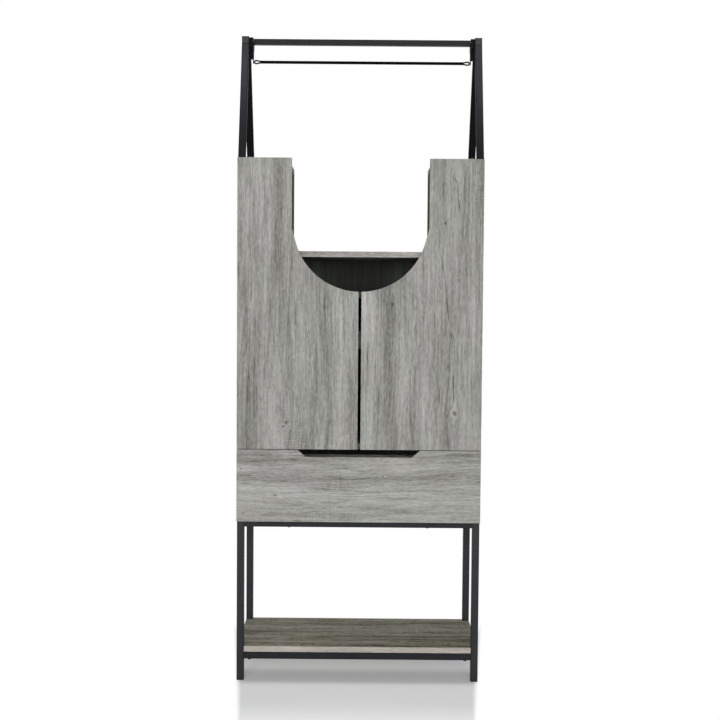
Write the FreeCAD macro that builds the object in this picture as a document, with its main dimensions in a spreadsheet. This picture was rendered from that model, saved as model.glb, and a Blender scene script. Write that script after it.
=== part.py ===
import FreeCAD, Part
import math
import os
import Sketcher

# A tall two-door cabinet on a steel base, with a deep U-shaped cut through both doors,
# a drawer below them and two steel A-frames above that carry a crossbar and a wire rail.
#
# Frame: X to the right, Y to the rear, Z up, millimetres.
# The origin is on the floor, under the middle of the cabinet's outer box.

SIZES = {
    # Overall
    "cabinet_width": 650,
    "cabinet_height": 1737,
    "frame_depth": 300,
    # Boards and tubes
    "board": 15,
    "door_board": 15,
    "back_board": 3,
    "tube": 19,
    "tube_wall": 1.2,
    # Clearances
    "door_gap": 3,
    "front_gap": 2,
    "meeting_gap": 8,
    "seat_play": 0.3,
    "fit_play": 0.1,
    "overrun": 2,
    # Steel base and its shelf
    "base_height": 436.5,
    "lower_rail_rise": 59,
    "foot_pad": 4,
    "foot_plug": 12,
    "shelf_notch_play": 0.5,
    "shelf_screw_inset": 15,
    "shelf_screw_head": 4.4,
    # Doors and drawer front
    "drawer_front_drop": 2,
    "drawer_front_height": 192.5,
    "door_height": 770,
    "cut_radius": 178,
    "cut_widening": 10.9,
    "cut_flare": 16,
    "cut_centre_drop": 173,
    "pull_width": 326,
    "pull_flat": 283,
    "pull_depth": 18.5,
    "pull_round": 6,
    # Rooms inside
    "bay_height": 244,
    "upper_room": 93,
    "middle_room": 88,
    "middle_setback": 12,
    "upper_setback": 6,
    "bay_width": 385,
    # Steel A-frames
    "apex_length": 64,
    "apex_forward": 25,
    "rear_foot_inset": 14,
    "strut_plate": 3,
    "strut_plate_length": 44,
    "strut_plate_width": 40,
    "crossbar_tube": 15,
    "crossbar_drop": 2,
    "bracket_thick": 10.5,
    "bracket_width": 44,
    "bracket_top_drop": 1,
    "bracket_shoulder": 25,
    "bracket_neck": 20,
    "bracket_drop": 55,
    "tongue": 2,
    "tongue_width": 8,
    "wire": 4,
    "wire_drop": 63.3,
    "strand_gap": 0.06,
    "eye_length": 18,
    "eye_height": 12.5,
    # Concealed hinges
    "hinge_end": 95,
    "pin_inset": 7,
    "knuckle_play": 0.2,
    "pin_radius": 1.2,
    "pin_play": 0.05,
    "knuckle_radius": 2.2,
    "cup_radius": 17.5,
    "cup_edge": 3,
    "cup_depth": 12,
    "cup_wall": 0.8,
    "cup_floor": 0.6,
    "cup_flange": 1.2,
    "cup_flange_radius": 18.5,
    "cup_ear": 10,
    "cup_ear_span": 56,
    "cup_screw_span": 48,
    "neck": 2,
    "neck_width": 10,
    "arm_width": 13,
    "arm_thick": 8,
    "arm_length": 42,
    "plate_thick": 2,
    "plate_height": 50,
    "plate_length": 24,
    "plate_setback": 16,
    "plate_screw_span": 32,
    # Magnet catch
    "catch_width": 46,
    "catch_height": 32,
    "catch_depth": 30,
    "catch_ear": 12,
    "catch_flange": 2,
    "magnet_width": 14,
    "magnet_height": 20,
    "magnet_sunk": 6,
    "strike": 1,
    "strike_inset": 1,
    "strike_width": 16,
    "strike_height": 26,
    # Drawer box and its slides
    "box_board": 12,
    "box_height": 120,
    "box_rear_gap": 30,
    "box_rise": 10,
    "drawer_dowel_radius": 3,
    "drawer_dowel_in_front": 9,
    "drawer_dowel_in_side": 16,
    "drawer_panel": 5,
    "drawer_panel_rise": 10,
    "groove": 5,
    "slide_space": 13,
    "slide_rear_gap": 47,
    "slide_height": 45,
    "slide_steel": 1.2,
    "slide_lip_gap": 4,
    "ball_radius": 2.25,
    "ball_play": 0.15,
    "cage_steel": 0.8,
    "cage_length": 70,
    "cage_ball_pitch": 18,
    # Fasteners
    "cam_radius": 7.5,
    "cam_depth": 12,
    "cam_inset": 34,
    "cam_bolt_radius": 3,
    "cam_bolt_thread": 11,
    "cam_edge": 45,
    "cam_slot": 2,
    "dowel_radius": 4,
    "dowel_in_flat": 10,
    "dowel_in_panel": 15,
    "dowel_edge": 50,
    "pin_hole_depth": 10,
    "shelf_pin_radius": 2.5,
    "shelf_pin_reach": 8,
    "shelf_pin_edge": 40,
    "shelf_pin_pitch": 32,
    "screw_radius": 2,
    "screw_head_radius": 4.5,
    "screw_head": 2.4,
    "screw_bite": 11,
    "carcase_screw_inset": 120,
    "bolt_radius": 2.5,
    "bolt_head_radius": 4.25,
    "bolt_head": 3,
    "bolt_edge": 1.5,
    "bolt_reach": 8,
    "nail_radius": 0.8,
    "nail_head_radius": 2.5,
    "nail_head": 0.5,
    "nail_length": 10,
}

BALLS_PER_ROW = 4
SHELF_PIN_ROWS = (-1, 0, 1)
SIDES = {"left": -1, "right": 1}
HALF_TURN = 180
CLOSE = 0.001

doc = FreeCAD.newDocument("wine_cabinet")
sheet = doc.addObject("Spreadsheet::Sheet", "sizes")
for row, (alias, value) in enumerate(SIZES.items(), start=1):
    sheet.set(f"A{row}", alias)
    sheet.set(f"B{row}", str(value))
    sheet.setAlias(f"B{row}", alias)
doc.recompute()


class Size:
    """A size from the sheet, or one worked out from such sizes.

    number is its value now, and text is the expression that the objects are bound to."""

    def __init__(self, number, text):
        self.number = number
        self.text = text

    def __add__(self, other):
        other = as_size(other)
        return Size(self.number + other.number, f"({self.text} + {other.text})")

    def __sub__(self, other):
        other = as_size(other)
        return Size(self.number - other.number, f"({self.text} - {other.text})")

    def __mul__(self, factor):
        factor = as_size(factor)
        return Size(self.number * factor.number, f"({self.text} * {factor.text})")

    def __rmul__(self, factor):
        return self * factor

    def __truediv__(self, divisor):
        divisor = as_size(divisor)
        return Size(self.number / divisor.number, f"({self.text} / {divisor.text})")

    def __neg__(self):
        return Size(-self.number, f"(-{self.text})")


def as_size(value):
    return value if isinstance(value, Size) else Size(float(value), str(value))


def size(alias):
    return Size(float(SIZES[alias]), f"sizes.{alias}")


def sine(angle):
    return Size(math.sin(math.radians(angle.number)), f"sin({angle.text})")


def cosine(angle):
    return Size(math.cos(math.radians(angle.number)), f"cos({angle.text})")


def arctangent(value):
    return Size(math.degrees(math.atan(value.number)), f"(atan({value.text}) / 1 deg)")


def root(value):
    return Size(math.sqrt(value.number), f"sqrt({value.text})")


def bind(item, prop, value):
    item.setExpression(prop, as_size(value).text)


def bind_place(item, x, y, z):
    bind(item, "Placement.Base.x", x)
    bind(item, "Placement.Base.y", y)
    bind(item, "Placement.Base.z", z)


def ordered(a, b):
    a, b = as_size(a), as_size(b)
    return (a, b) if a.number <= b.number else (b, a)


def box(x_span, y_span, z_span):
    """A block between two places along each axis, in either order."""
    item = doc.addObject("Part::Box", "block")
    low = []
    for prop, span in (("Length", x_span), ("Width", y_span), ("Height", z_span)):
        start, end = ordered(*span)
        bind(item, prop, end - start)
        low.append(start)
    bind_place(item, *low)
    return item


def rod(start, direction, radius, length):
    """A cylinder from a start point along a row axis."""
    item = doc.addObject("Part::Cylinder", "rod")
    turn = FreeCAD.Rotation(FreeCAD.Vector(0, 0, 1), FreeCAD.Vector(*direction))
    item.Placement = FreeCAD.Placement(FreeCAD.Vector(), turn)
    bind(item, "Radius", radius)
    bind(item, "Height", length)
    bind_place(item, *start)
    return item


def ball(centre, radius):
    item = doc.addObject("Part::Sphere", "ball")
    bind(item, "Radius", radius)
    bind_place(item, *centre)
    return item


def fuse(items):
    if len(items) == 1:
        return items[0]
    item = doc.addObject("Part::MultiFuse", "joined")
    item.Shapes = items
    return item


def cut(base, tools):
    if not tools:
        return base
    item = doc.addObject("Part::Cut", "trimmed")
    item.Base = base
    item.Tool = fuse(tools)
    return item


def group(items):
    item = doc.addObject("Part::Compound", "set")
    item.Links = items
    return item


nodes = []


def node(label, item):
    item.Label = label
    nodes.append(item)
    return item


X_AXIS, Y_AXIS, Z_AXIS = (1, 0, 0), (0, 1, 0), (0, 0, 1)
X_BACK, Y_BACK, Z_BACK = (-1, 0, 0), (0, -1, 0), (0, 0, -1)
INWARD = {"left": X_AXIS, "right": X_BACK}
OUTWARD = {"left": X_BACK, "right": X_AXIS}

# Sizes that every section uses

board = size("board")
door_board = size("door_board")
tube = size("tube")
tube_wall = size("tube_wall")
overrun = size("overrun")
seat_play = size("seat_play")
fit_play = size("fit_play")
screw_radius = size("screw_radius")
screw_hole_radius = screw_radius + fit_play

quarter_turn = as_size(HALF_TURN / 2)
half_width = size("cabinet_width") / 2
front_stack = door_board + size("door_gap")
y_door = -(size("frame_depth") + front_stack) / 2
y_door_back = y_door + door_board
y_front = y_door + front_stack
y_rear = -y_door
y_back = y_rear - size("back_board")

z_base = size("base_height")
z_drawer_low = z_base - size("drawer_front_drop")
z_drawer_high = z_drawer_low + size("drawer_front_height")
z_door_low = z_drawer_high + size("front_gap")
z_door_high = z_door_low + size("door_height")
z_top = size("cabinet_height")

x_panel = half_width - board
x_bay = size("bay_width") / 2
x_tower = x_bay + board

z_base_board = z_base + board
z_floor = z_door_low + board
z_deck_top = z_door_high - size("bay_height")
z_deck = z_deck_top - board
z_upper_top = z_deck - size("upper_room")
z_upper = z_upper_top - board
z_middle_top = z_upper - size("middle_room")
z_middle = z_middle_top - board
z_tower = z_door_high - board


def screw(seat, direction, reach, head_name="screw_head"):
    """A pan-head screw that points along direction, with the underside of its head at seat."""
    away = tuple(-part for part in direction)
    head = rod(seat, away, size("screw_head_radius"), size(head_name))
    shank = rod(seat, direction, screw_radius, reach)
    return fuse([head, shank])


def square_tube(x_span, y_span, z_span, axis, tools=()):
    """A square tube along axis (0, 1 or 2), open at its two ends."""
    spans = [ordered(*x_span), ordered(*y_span), ordered(*z_span)]
    inner = [(low + tube_wall, high - tube_wall) for low, high in spans]
    low, high = spans[axis]
    inner[axis] = (low - overrun, high + overrun)
    return cut(box(*spans), [box(*inner), *tools])


# Sketched bodies

def new_body():
    return doc.addObject("PartDesign::Body", "body")


def origin_plane(body, role):
    return next(plane for plane in body.Origin.OriginFeatures if plane.Role == role)


def outline(body, role, corners, arcs=None, offset=None):
    """A closed sketch through corners, whose places are bound to the sheet.

    arcs gives the centre of each side that is round, by the number of the corner it starts from."""
    arcs = {i: (as_size(u), as_size(v)) for i, (u, v) in (arcs or {}).items()}
    corners = [(as_size(u), as_size(v)) for u, v in corners]
    sketch = body.newObject("Sketcher::SketchObject", "outline")
    sketch.AttachmentSupport = (origin_plane(body, role), [""])
    sketch.MapMode = "FlatFace"
    if offset is not None:
        bind(sketch, "AttachmentOffset.Base.z", offset)
    points = [FreeCAD.Vector(u.number, v.number, 0) for u, v in corners]
    count = len(corners)
    starts = {}
    for i, start in enumerate(points):
        end = points[(i + 1) % count]
        if i in arcs:
            centre = FreeCAD.Vector(arcs[i][0].number, arcs[i][1].number, 0)
            edge, forward = arc_between(centre, start, end)
            starts[i] = 1 if forward else 2
        else:
            edge = Part.LineSegment(start, end)
            starts[i] = 1
        sketch.addGeometry(edge, False)
    for i in range(count):
        after = (i + 1) % count
        sketch.addConstraint(Sketcher.Constraint("Coincident", i, 3 - starts[i], after, starts[after]))
    for i, (u, v) in enumerate(corners):
        pin_point(sketch, i, starts[i], u, v)
    for i, centre in arcs.items():
        pin_line(sketch, "DistanceX", i, 3, centre[0])
    return sketch


def arc_between(centre, start, end):
    """The short arc about centre between two points, and whether it runs from start to end."""
    begin = math.atan2(start.y - centre.y, start.x - centre.x)
    finish = math.atan2(end.y - centre.y, end.x - centre.x)
    circle = Part.Circle(centre, FreeCAD.Vector(0, 0, 1), (start - centre).Length)
    forward = (finish - begin) % (2 * math.pi) < math.pi
    if not forward:
        begin, finish = finish, begin
    return Part.ArcOfCircle(circle, begin, begin + (finish - begin) % (2 * math.pi)), forward


def pin_point(sketch, edge, end, u, v):
    pin_line(sketch, "DistanceX", edge, end, u)
    pin_line(sketch, "DistanceY", edge, end, v)


def pin_line(sketch, kind, edge, end, value):
    index = sketch.addConstraint(Sketcher.Constraint(kind, -1, 1, edge, end, value.number))
    sketch.setExpression(f"Constraints[{index}]", value.text)


def circles(body, role, centres, radius, offset):
    sketch = body.newObject("Sketcher::SketchObject", "bores")
    sketch.AttachmentSupport = (origin_plane(body, role), [""])
    sketch.MapMode = "FlatFace"
    bind(sketch, "AttachmentOffset.Base.z", offset)
    for i, (u, v) in enumerate(centres):
        centre = FreeCAD.Vector(u.number, v.number, 0)
        sketch.addGeometry(Part.Circle(centre, FreeCAD.Vector(0, 0, 1), radius.number), False)
        pin_point(sketch, i, 3, u, v)
        index = sketch.addConstraint(Sketcher.Constraint("Radius", i, radius.number))
        sketch.setExpression(f"Constraints[{index}]", radius.text)
    return sketch


def pad(body, sketch, length, reverse=False):
    feature = body.newObject("PartDesign::Pad", "pad")
    feature.Profile = sketch
    feature.Reversed = reverse
    bind(feature, "Length", length)
    doc.recompute()
    return feature


def pocket(body, sketch, length, reverse=False):
    """A pocket that has to take volume away, whichever way its sketch faces."""
    before = body.Shape.Volume
    feature = body.newObject("PartDesign::Pocket", "pocket")
    feature.Profile = sketch
    feature.Reversed = reverse
    bind(feature, "Length", length)
    doc.recompute()
    if not body.Shape.Volume < before:
        raise RuntimeError(f"{body.Label}: the pocket takes nothing away")
    return feature


def round_edges(body, radius, x, z):
    """Rounds the edges that run front to back at x and -x, at height z."""
    base = body.Tip
    names = []
    for index, edge in enumerate(base.Shape.Edges, start=1):
        middle = edge.CenterOfMass
        along_y = abs(edge.tangentAt(edge.FirstParameter).y) > 1 - CLOSE
        if along_y and abs(abs(middle.x) - x.number) < CLOSE and abs(middle.z - z.number) < CLOSE:
            names.append(f"Edge{index}")
    feature = body.newObject("PartDesign::Fillet", "rounding")
    feature.Base = (base, names)
    bind(feature, "Radius", radius)
    doc.recompute()
    return feature


# Steel base

x_tube = half_width - tube
y_front_tube = y_front + tube
y_rear_tube = y_rear - tube
z_lower_rail = size("lower_rail_rise")
z_shelf = z_lower_rail + tube
z_ring = z_base - tube
y_rows = {"front": (y_front, y_front_tube), "rear": (y_rear_tube, y_rear)}

foot_caps = []
plug = tube_wall + fit_play
for end, y_span in y_rows.items():
    for side, sign in SIDES.items():
        x_span = (sign * x_tube, sign * half_width)
        leg = square_tube(x_span, y_span, (size("foot_pad"), z_base), 2)
        node(f"base_leg_{end}_{side}", leg)
        pad_block = box(x_span, y_span, (0, size("foot_pad")))
        x_inner = (sign * (x_tube + plug), sign * (half_width - plug))
        y_inner = (y_span[0] + plug, y_span[1] - plug)
        plug_block = box(x_inner, y_inner, (0, size("foot_pad") + size("foot_plug")))
        foot_caps.append(fuse([pad_block, plug_block]))
node("foot_caps", group(foot_caps))

x_shelf_screw = x_tube - size("shelf_screw_inset")
x_carcase_screw = x_tube - size("carcase_screw_inset")
screw_reach = tube + size("screw_bite")
base_screws = []
for end, y_span in y_rows.items():
    y_row = (y_span[0] + y_span[1]) / 2
    for z_low, x_screw, head_name, label in (
        (z_lower_rail, x_shelf_screw, "shelf_screw_head", f"lower_rail_{end}"),
        (z_ring, x_carcase_screw, "screw_head", f"top_rail_{end}"),
    ):
        holes = []
        for sign in SIDES.values():
            x = sign * x_screw
            holes.append(rod((x, y_row, z_low - overrun), Z_AXIS, screw_hole_radius, tube + 2 * overrun))
            base_screws.append(screw((x, y_row, z_low), Z_AXIS, screw_reach, head_name))
        node(label, square_tube((-x_tube, x_tube), y_span, (z_low, z_low + tube), 0, holes))
node("base_screws", group(base_screws))

for z_low, label in ((z_lower_rail, "lower_side_rails"), (z_ring, "top_side_rails")):
    rails = []
    for sign in SIDES.values():
        x_span = (sign * x_tube, sign * half_width)
        rails.append(square_tube(x_span, (y_front_tube, y_rear_tube), (z_low, z_low + tube), 1))
    node(label, group(rails))

notch = tube + size("shelf_notch_play")
x_notch = half_width - notch
y_notch_front = y_front + notch
y_notch_rear = y_rear - notch
shelf = new_body()
shelf_outline = outline(shelf, "XY_Plane", [
    (-x_notch, y_front), (x_notch, y_front), (x_notch, y_notch_front), (half_width, y_notch_front),
    (half_width, y_notch_rear), (x_notch, y_notch_rear), (x_notch, y_rear), (-x_notch, y_rear),
    (-x_notch, y_notch_rear), (-half_width, y_notch_rear), (-half_width, y_notch_front),
    (-x_notch, y_notch_front),
])
pad(shelf, shelf_outline, board)
shelf_holes = []
for y_span in y_rows.values():
    for sign in SIDES.values():
        shelf_holes.append((sign * x_shelf_screw, (y_span[0] + y_span[1]) / 2))
bite_sketch = circles(shelf, "XY_Plane", shelf_holes, screw_hole_radius, size("screw_bite") + fit_play)
pocket(shelf, bite_sketch, size("screw_bite") + fit_play + overrun)
bind(shelf, "Placement.Base.z", z_shelf)
node("lower_shelf", shelf)

# Where the hinges, the magnet catch and the A-frames are fastened

z_hinges = (z_door_low + size("hinge_end"), z_door_high - size("hinge_end"))
y_plate = y_front + size("plate_setback")
y_plate_screw = y_plate + size("plate_length") / 2
x_catch_screw = size("catch_width") / 2 + size("catch_ear") / 2
y_catch_screw = y_front + size("middle_setback") + (size("catch_depth") - size("middle_setback")) / 2
x_plate_screw = x_tube - (size("strut_plate_width") - tube) / 2
y_feet = {"front": (y_front, 1), "rear": (y_rear - size("rear_foot_inset"), -1)}
strut_screw_shares = (0.25, 0.75)
strut_screw_places = {
    (end, side): [(sign * x_plate_screw, y_foot + sense * share * size("strut_plate_length"))
                  for share in strut_screw_shares]
    for end, (y_foot, sense) in y_feet.items()
    for side, sign in SIDES.items()
}


def screw_bore(seat, direction, reach):
    """The hole for a screw, from its seat along its direction."""
    return rod(seat, direction, screw_hole_radius, reach + fit_play)


# Fasteners that join the boards

cam_radius = size("cam_radius")
cam_depth = size("cam_depth")
cam_bolt_radius = size("cam_bolt_radius")
bolt_bore_radius = cam_bolt_radius + fit_play
y_cams = (y_front + size("cam_edge"), y_back - size("cam_edge"))
cam_locks = []
cam_bolts = []
panel_bores = {"left": [], "right": []}
partition_bores = {"left": [], "right": []}


def cam_joints(z_low):
    """Cam locks and bolts at both ends of a board whose underside is at z_low.

    Returns the bores that the board needs, and adds the bolt holes to the side panels."""
    z_line = z_low + board / 2
    bores = []
    for side, sign in SIDES.items():
        x_cam = sign * (x_panel - size("cam_inset"))
        for y in y_cams:
            bores.append(rod((x_cam, y, z_low - overrun), Z_AXIS, cam_radius + fit_play,
                             cam_depth + overrun + fit_play))
            bores.append(rod((sign * (x_panel + overrun), y, z_line), INWARD[side], bolt_bore_radius,
                             size("cam_inset") + overrun))
            cam_locks.append(cam_lock(x_cam, y, z_low, OUTWARD[side]))
            tip = x_cam + sign * size("cam_slot")
            reach = size("cam_inset") - size("cam_slot") + size("cam_bolt_thread")
            cam_bolts.append(rod((tip, y, z_line), OUTWARD[side], cam_bolt_radius, reach))
            panel_bores[side].append(rod((sign * (x_panel - overrun), y, z_line), OUTWARD[side],
                                         bolt_bore_radius, size("cam_bolt_thread") + overrun + fit_play))
    return bores


def cam_lock(x, y, z, outward):
    """A cam with a throat for its bolt and a cross slot in its lower face."""
    slot = size("cam_slot")
    lock = rod((x, y, z), Z_AXIS, cam_radius, cam_depth)
    throat = rod((x, y, z + board / 2), outward, bolt_bore_radius, cam_radius + overrun)
    slot_z = (z - overrun, z + slot / 2)
    across = box((x - slot * 2, x + slot * 2), (y - slot / 2, y + slot / 2), slot_z)
    along = box((x - slot / 2, x + slot / 2), (y - slot * 2, y + slot * 2), slot_z)
    return cut(lock, [throat, across, along])


dowels = []
dowel_hole_radius = size("dowel_radius") + fit_play
y_dowels = (y_front + size("dowel_edge"), y_back - size("dowel_edge"))


def dowel_joint(x, z_joint, flat_above):
    """Two dowels across a level joint between a flat board and an upright panel.

    Returns the bores of the flat board and those of the panel."""
    in_flat = size("dowel_in_flat")
    in_panel = size("dowel_in_panel")
    above, below = (in_flat, in_panel) if flat_above else (in_panel, in_flat)
    upper, lower = [], []
    for y in y_dowels:
        dowels.append(rod((x, y, z_joint - below), Z_AXIS, size("dowel_radius"), above + below))
        upper.append(rod((x, y, z_joint - overrun), Z_AXIS, dowel_hole_radius, above + overrun + fit_play))
        lower.append(rod((x, y, z_joint + overrun), Z_BACK, dowel_hole_radius, below + overrun + fit_play))
    return (upper, lower) if flat_above else (lower, upper)


nails = []
back_bores = {"main": [], "left": [], "right": []}


def nail(x, z, back):
    """A nail through the back at x and z. Returns the hole that the board behind it needs."""
    head = rod((x, y_rear, z), Y_BACK, size("nail_head_radius"), size("nail_head"))
    shank = rod((x, y_rear, z), Y_BACK, size("nail_radius"), size("nail_length"))
    nails.append(fuse([head, shank]))
    hole_radius = size("nail_radius") + fit_play
    back_bores[back].append(rod((x, y_rear + overrun, z), Y_BACK, hole_radius,
                                size("back_board") + 2 * overrun))
    back_bores[back].append(rod((x, y_rear + overrun, z), Y_BACK, size("nail_head_radius") + fit_play,
                                size("nail_head") + overrun))
    return rod((x, y_back + overrun, z), Y_BACK, hole_radius,
               size("nail_length") - size("back_board") + overrun + fit_play)


row_nail_shares = (-0.8, -0.4, 0.4, 0.8)


def nail_row(z):
    return [nail(share * x_panel, z, "main") for share in row_nail_shares]


# Flat boards

board_y = (y_front, y_back)
board_x = (-x_panel, x_panel)
base_board_bores = cam_joints(z_base) + nail_row(z_base + board / 2)
for y_span in y_rows.values():
    for sign in SIDES.values():
        seat = (sign * x_carcase_screw, (y_span[0] + y_span[1]) / 2, z_base)
        base_board_bores.append(screw_bore(seat, Z_AXIS, size("screw_bite")))
node("base_board", cut(box(board_x, board_y, (z_base, z_base_board)), base_board_bores))
floor_bores = cam_joints(z_door_low) + nail_row(z_door_low + board / 2)
node("cupboard_floor", cut(box(board_x, board_y, (z_door_low, z_floor)), floor_bores))

middle_bores = cam_joints(z_middle) + nail_row(z_middle + board / 2)
for sign in SIDES.values():
    middle_bores.append(screw_bore((sign * x_catch_screw, y_catch_screw, z_middle), Z_AXIS,
                                   size("screw_bite")))
middle_y = (y_front + size("middle_setback"), y_back)
node("middle_shelf", cut(box(board_x, middle_y, (z_middle, z_middle_top)), middle_bores))

upper_x = (-(x_panel - seat_play), x_panel - seat_play)
upper_y = (y_front + size("upper_setback"), y_back - seat_play)
node("upper_shelf", box(upper_x, upper_y, (z_upper, z_upper_top)))

deck_bores = cam_joints(z_deck) + nail_row(z_deck + board / 2)
for side, sign in SIDES.items():
    flat_bores, upright_bores = dowel_joint(sign * (x_bay + x_tower) / 2, z_deck_top, flat_above=False)
    deck_bores += flat_bores
    partition_bores[side] += upright_bores
node("display_deck", cut(box(board_x, board_y, (z_deck, z_deck_top)), deck_bores))

# Upright panels, tower tops and backs

z_pin = z_upper - size("shelf_pin_radius")
y_pins = (y_front + size("shelf_pin_edge"), y_back - size("shelf_pin_edge"))
pin_length = size("pin_hole_depth") + size("shelf_pin_reach")
panel_nail_shares = (0.06, 0.19, 0.32, 0.45, 0.58, 0.7)
tower_nail_shares = (0.2, 0.8)
shelf_pins = []
tower_tops = []
tower_backs = []
for side, sign in SIDES.items():
    x_panel_line = sign * (x_panel + half_width) / 2
    x_partition_line = sign * (x_bay + x_tower) / 2
    for y in y_pins:
        start = (sign * (x_panel + size("pin_hole_depth")), y, z_pin)
        shelf_pins.append(rod(start, INWARD[side], size("shelf_pin_radius"), pin_length))
        for step in SHELF_PIN_ROWS:
            mouth = (sign * (x_panel - overrun), y, z_pin + step * size("shelf_pin_pitch"))
            panel_bores[side].append(rod(mouth, OUTWARD[side], size("shelf_pin_radius") + fit_play,
                                         size("pin_hole_depth") + overrun + fit_play))
    for z in z_hinges:
        for level in (-1, 1):
            seat = (sign * x_panel, y_plate_screw, z + level * size("plate_screw_span") / 2)
            panel_bores[side].append(screw_bore(seat, OUTWARD[side], size("screw_bite")))
    for share in panel_nail_shares:
        panel_bores[side].append(nail(x_panel_line, z_base + share * (z_tower - z_base), "main"))
    for share in tower_nail_shares:
        z = z_deck_top + share * (z_tower - z_deck_top)
        panel_bores[side].append(nail(x_panel_line, z, side))
        partition_bores[side].append(nail(x_partition_line, z, side))
    top_bores = [screw_bore((x, y, z_door_high), Z_BACK, size("screw_bite"))
                 for end in y_feet for x, y in strut_screw_places[end, side]]
    for x_line, bores in ((x_panel_line, panel_bores[side]), (x_partition_line, partition_bores[side])):
        flat_bores, upright_bores = dowel_joint(x_line, z_tower, flat_above=True)
        top_bores += flat_bores
        bores += upright_bores
    panel = box((sign * x_panel, sign * half_width), board_y, (z_base, z_tower))
    node(f"side_panel_{side}", cut(panel, panel_bores[side]))
    partition = box((sign * x_bay, sign * x_tower), board_y, (z_deck_top, z_tower))
    node(f"partition_{side}", cut(partition, partition_bores[side]))
    top = box((sign * x_bay, sign * half_width), board_y, (z_tower, z_door_high))
    tower_tops.append(cut(top, top_bores))
    tower_back = box((sign * x_bay, sign * half_width), (y_back, y_rear), (z_deck_top, z_door_high))
    tower_backs.append(cut(tower_back, back_bores[side]))
main_back = box((-half_width, half_width), (y_back, y_rear), (z_base, z_deck_top))
node("tower_tops", group(tower_tops))
node("back_panels", group([cut(main_back, back_bores["main"]), *tower_backs]))
node("shelf_pins", group(shelf_pins))
node("cam_locks", group(cam_locks))
node("cam_bolts", group(cam_bolts))
node("dowels", group(dowels))
node("back_nails", group(nails))

# Steel A-frames on the towers

z_foot = z_door_high + size("strut_plate")
z_block = z_top - tube
rise = z_block - z_foot
half_apex = size("apex_length") / 2
y_apex = (y_front + y_rear) / 2 - size("apex_forward")
y_heads = {"front": y_apex - half_apex, "rear": y_apex + half_apex}
strut_plates = []
strut_screws = []
for end, (y_foot, sense) in y_feet.items():
    slope = (y_heads[end] - y_foot) / rise
    section = tube * root(slope * slope + 1)
    wall = tube_wall * root(slope * slope + 1)
    y_void_foot = y_foot - slope * overrun
    y_void_head = y_heads[end] + slope * overrun
    for side, sign in SIDES.items():
        strut = new_body()
        profile = outline(strut, "YZ_Plane", [
            (y_foot, z_foot), (y_foot + sense * section, z_foot),
            (y_heads[end] + sense * section, z_block), (y_heads[end], z_block),
        ])
        pad(strut, profile, tube)
        void = outline(strut, "YZ_Plane", [
            (y_void_foot + sense * wall, z_foot - overrun),
            (y_void_foot + sense * (section - wall), z_foot - overrun),
            (y_void_head + sense * (section - wall), z_block + overrun),
            (y_void_head + sense * wall, z_block + overrun),
        ], offset=tube_wall)
        pocket(strut, void, tube - 2 * tube_wall, reverse=True)
        bind(strut, "Placement.Base.x", ordered(sign * x_tube, sign * half_width)[0])
        node(f"strut_{end}_{side}", strut)
        plate_x = (sign * half_width, sign * (half_width - size("strut_plate_width")))
        plate_y = (y_foot, y_foot + sense * size("strut_plate_length"))
        holes = []
        for x, y in strut_screw_places[end, side]:
            holes.append(screw_bore((x, y, z_foot + overrun), Z_BACK, 2 * overrun + size("strut_plate")))
            strut_screws.append(screw((x, y, z_foot), Z_BACK, size("strut_plate") + size("screw_bite")))
        strut_plates.append(cut(box(plate_x, plate_y, (z_door_high, z_foot)), holes))
node("strut_base_plates", group(strut_plates))
node("strut_screws", group(strut_screws))

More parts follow.
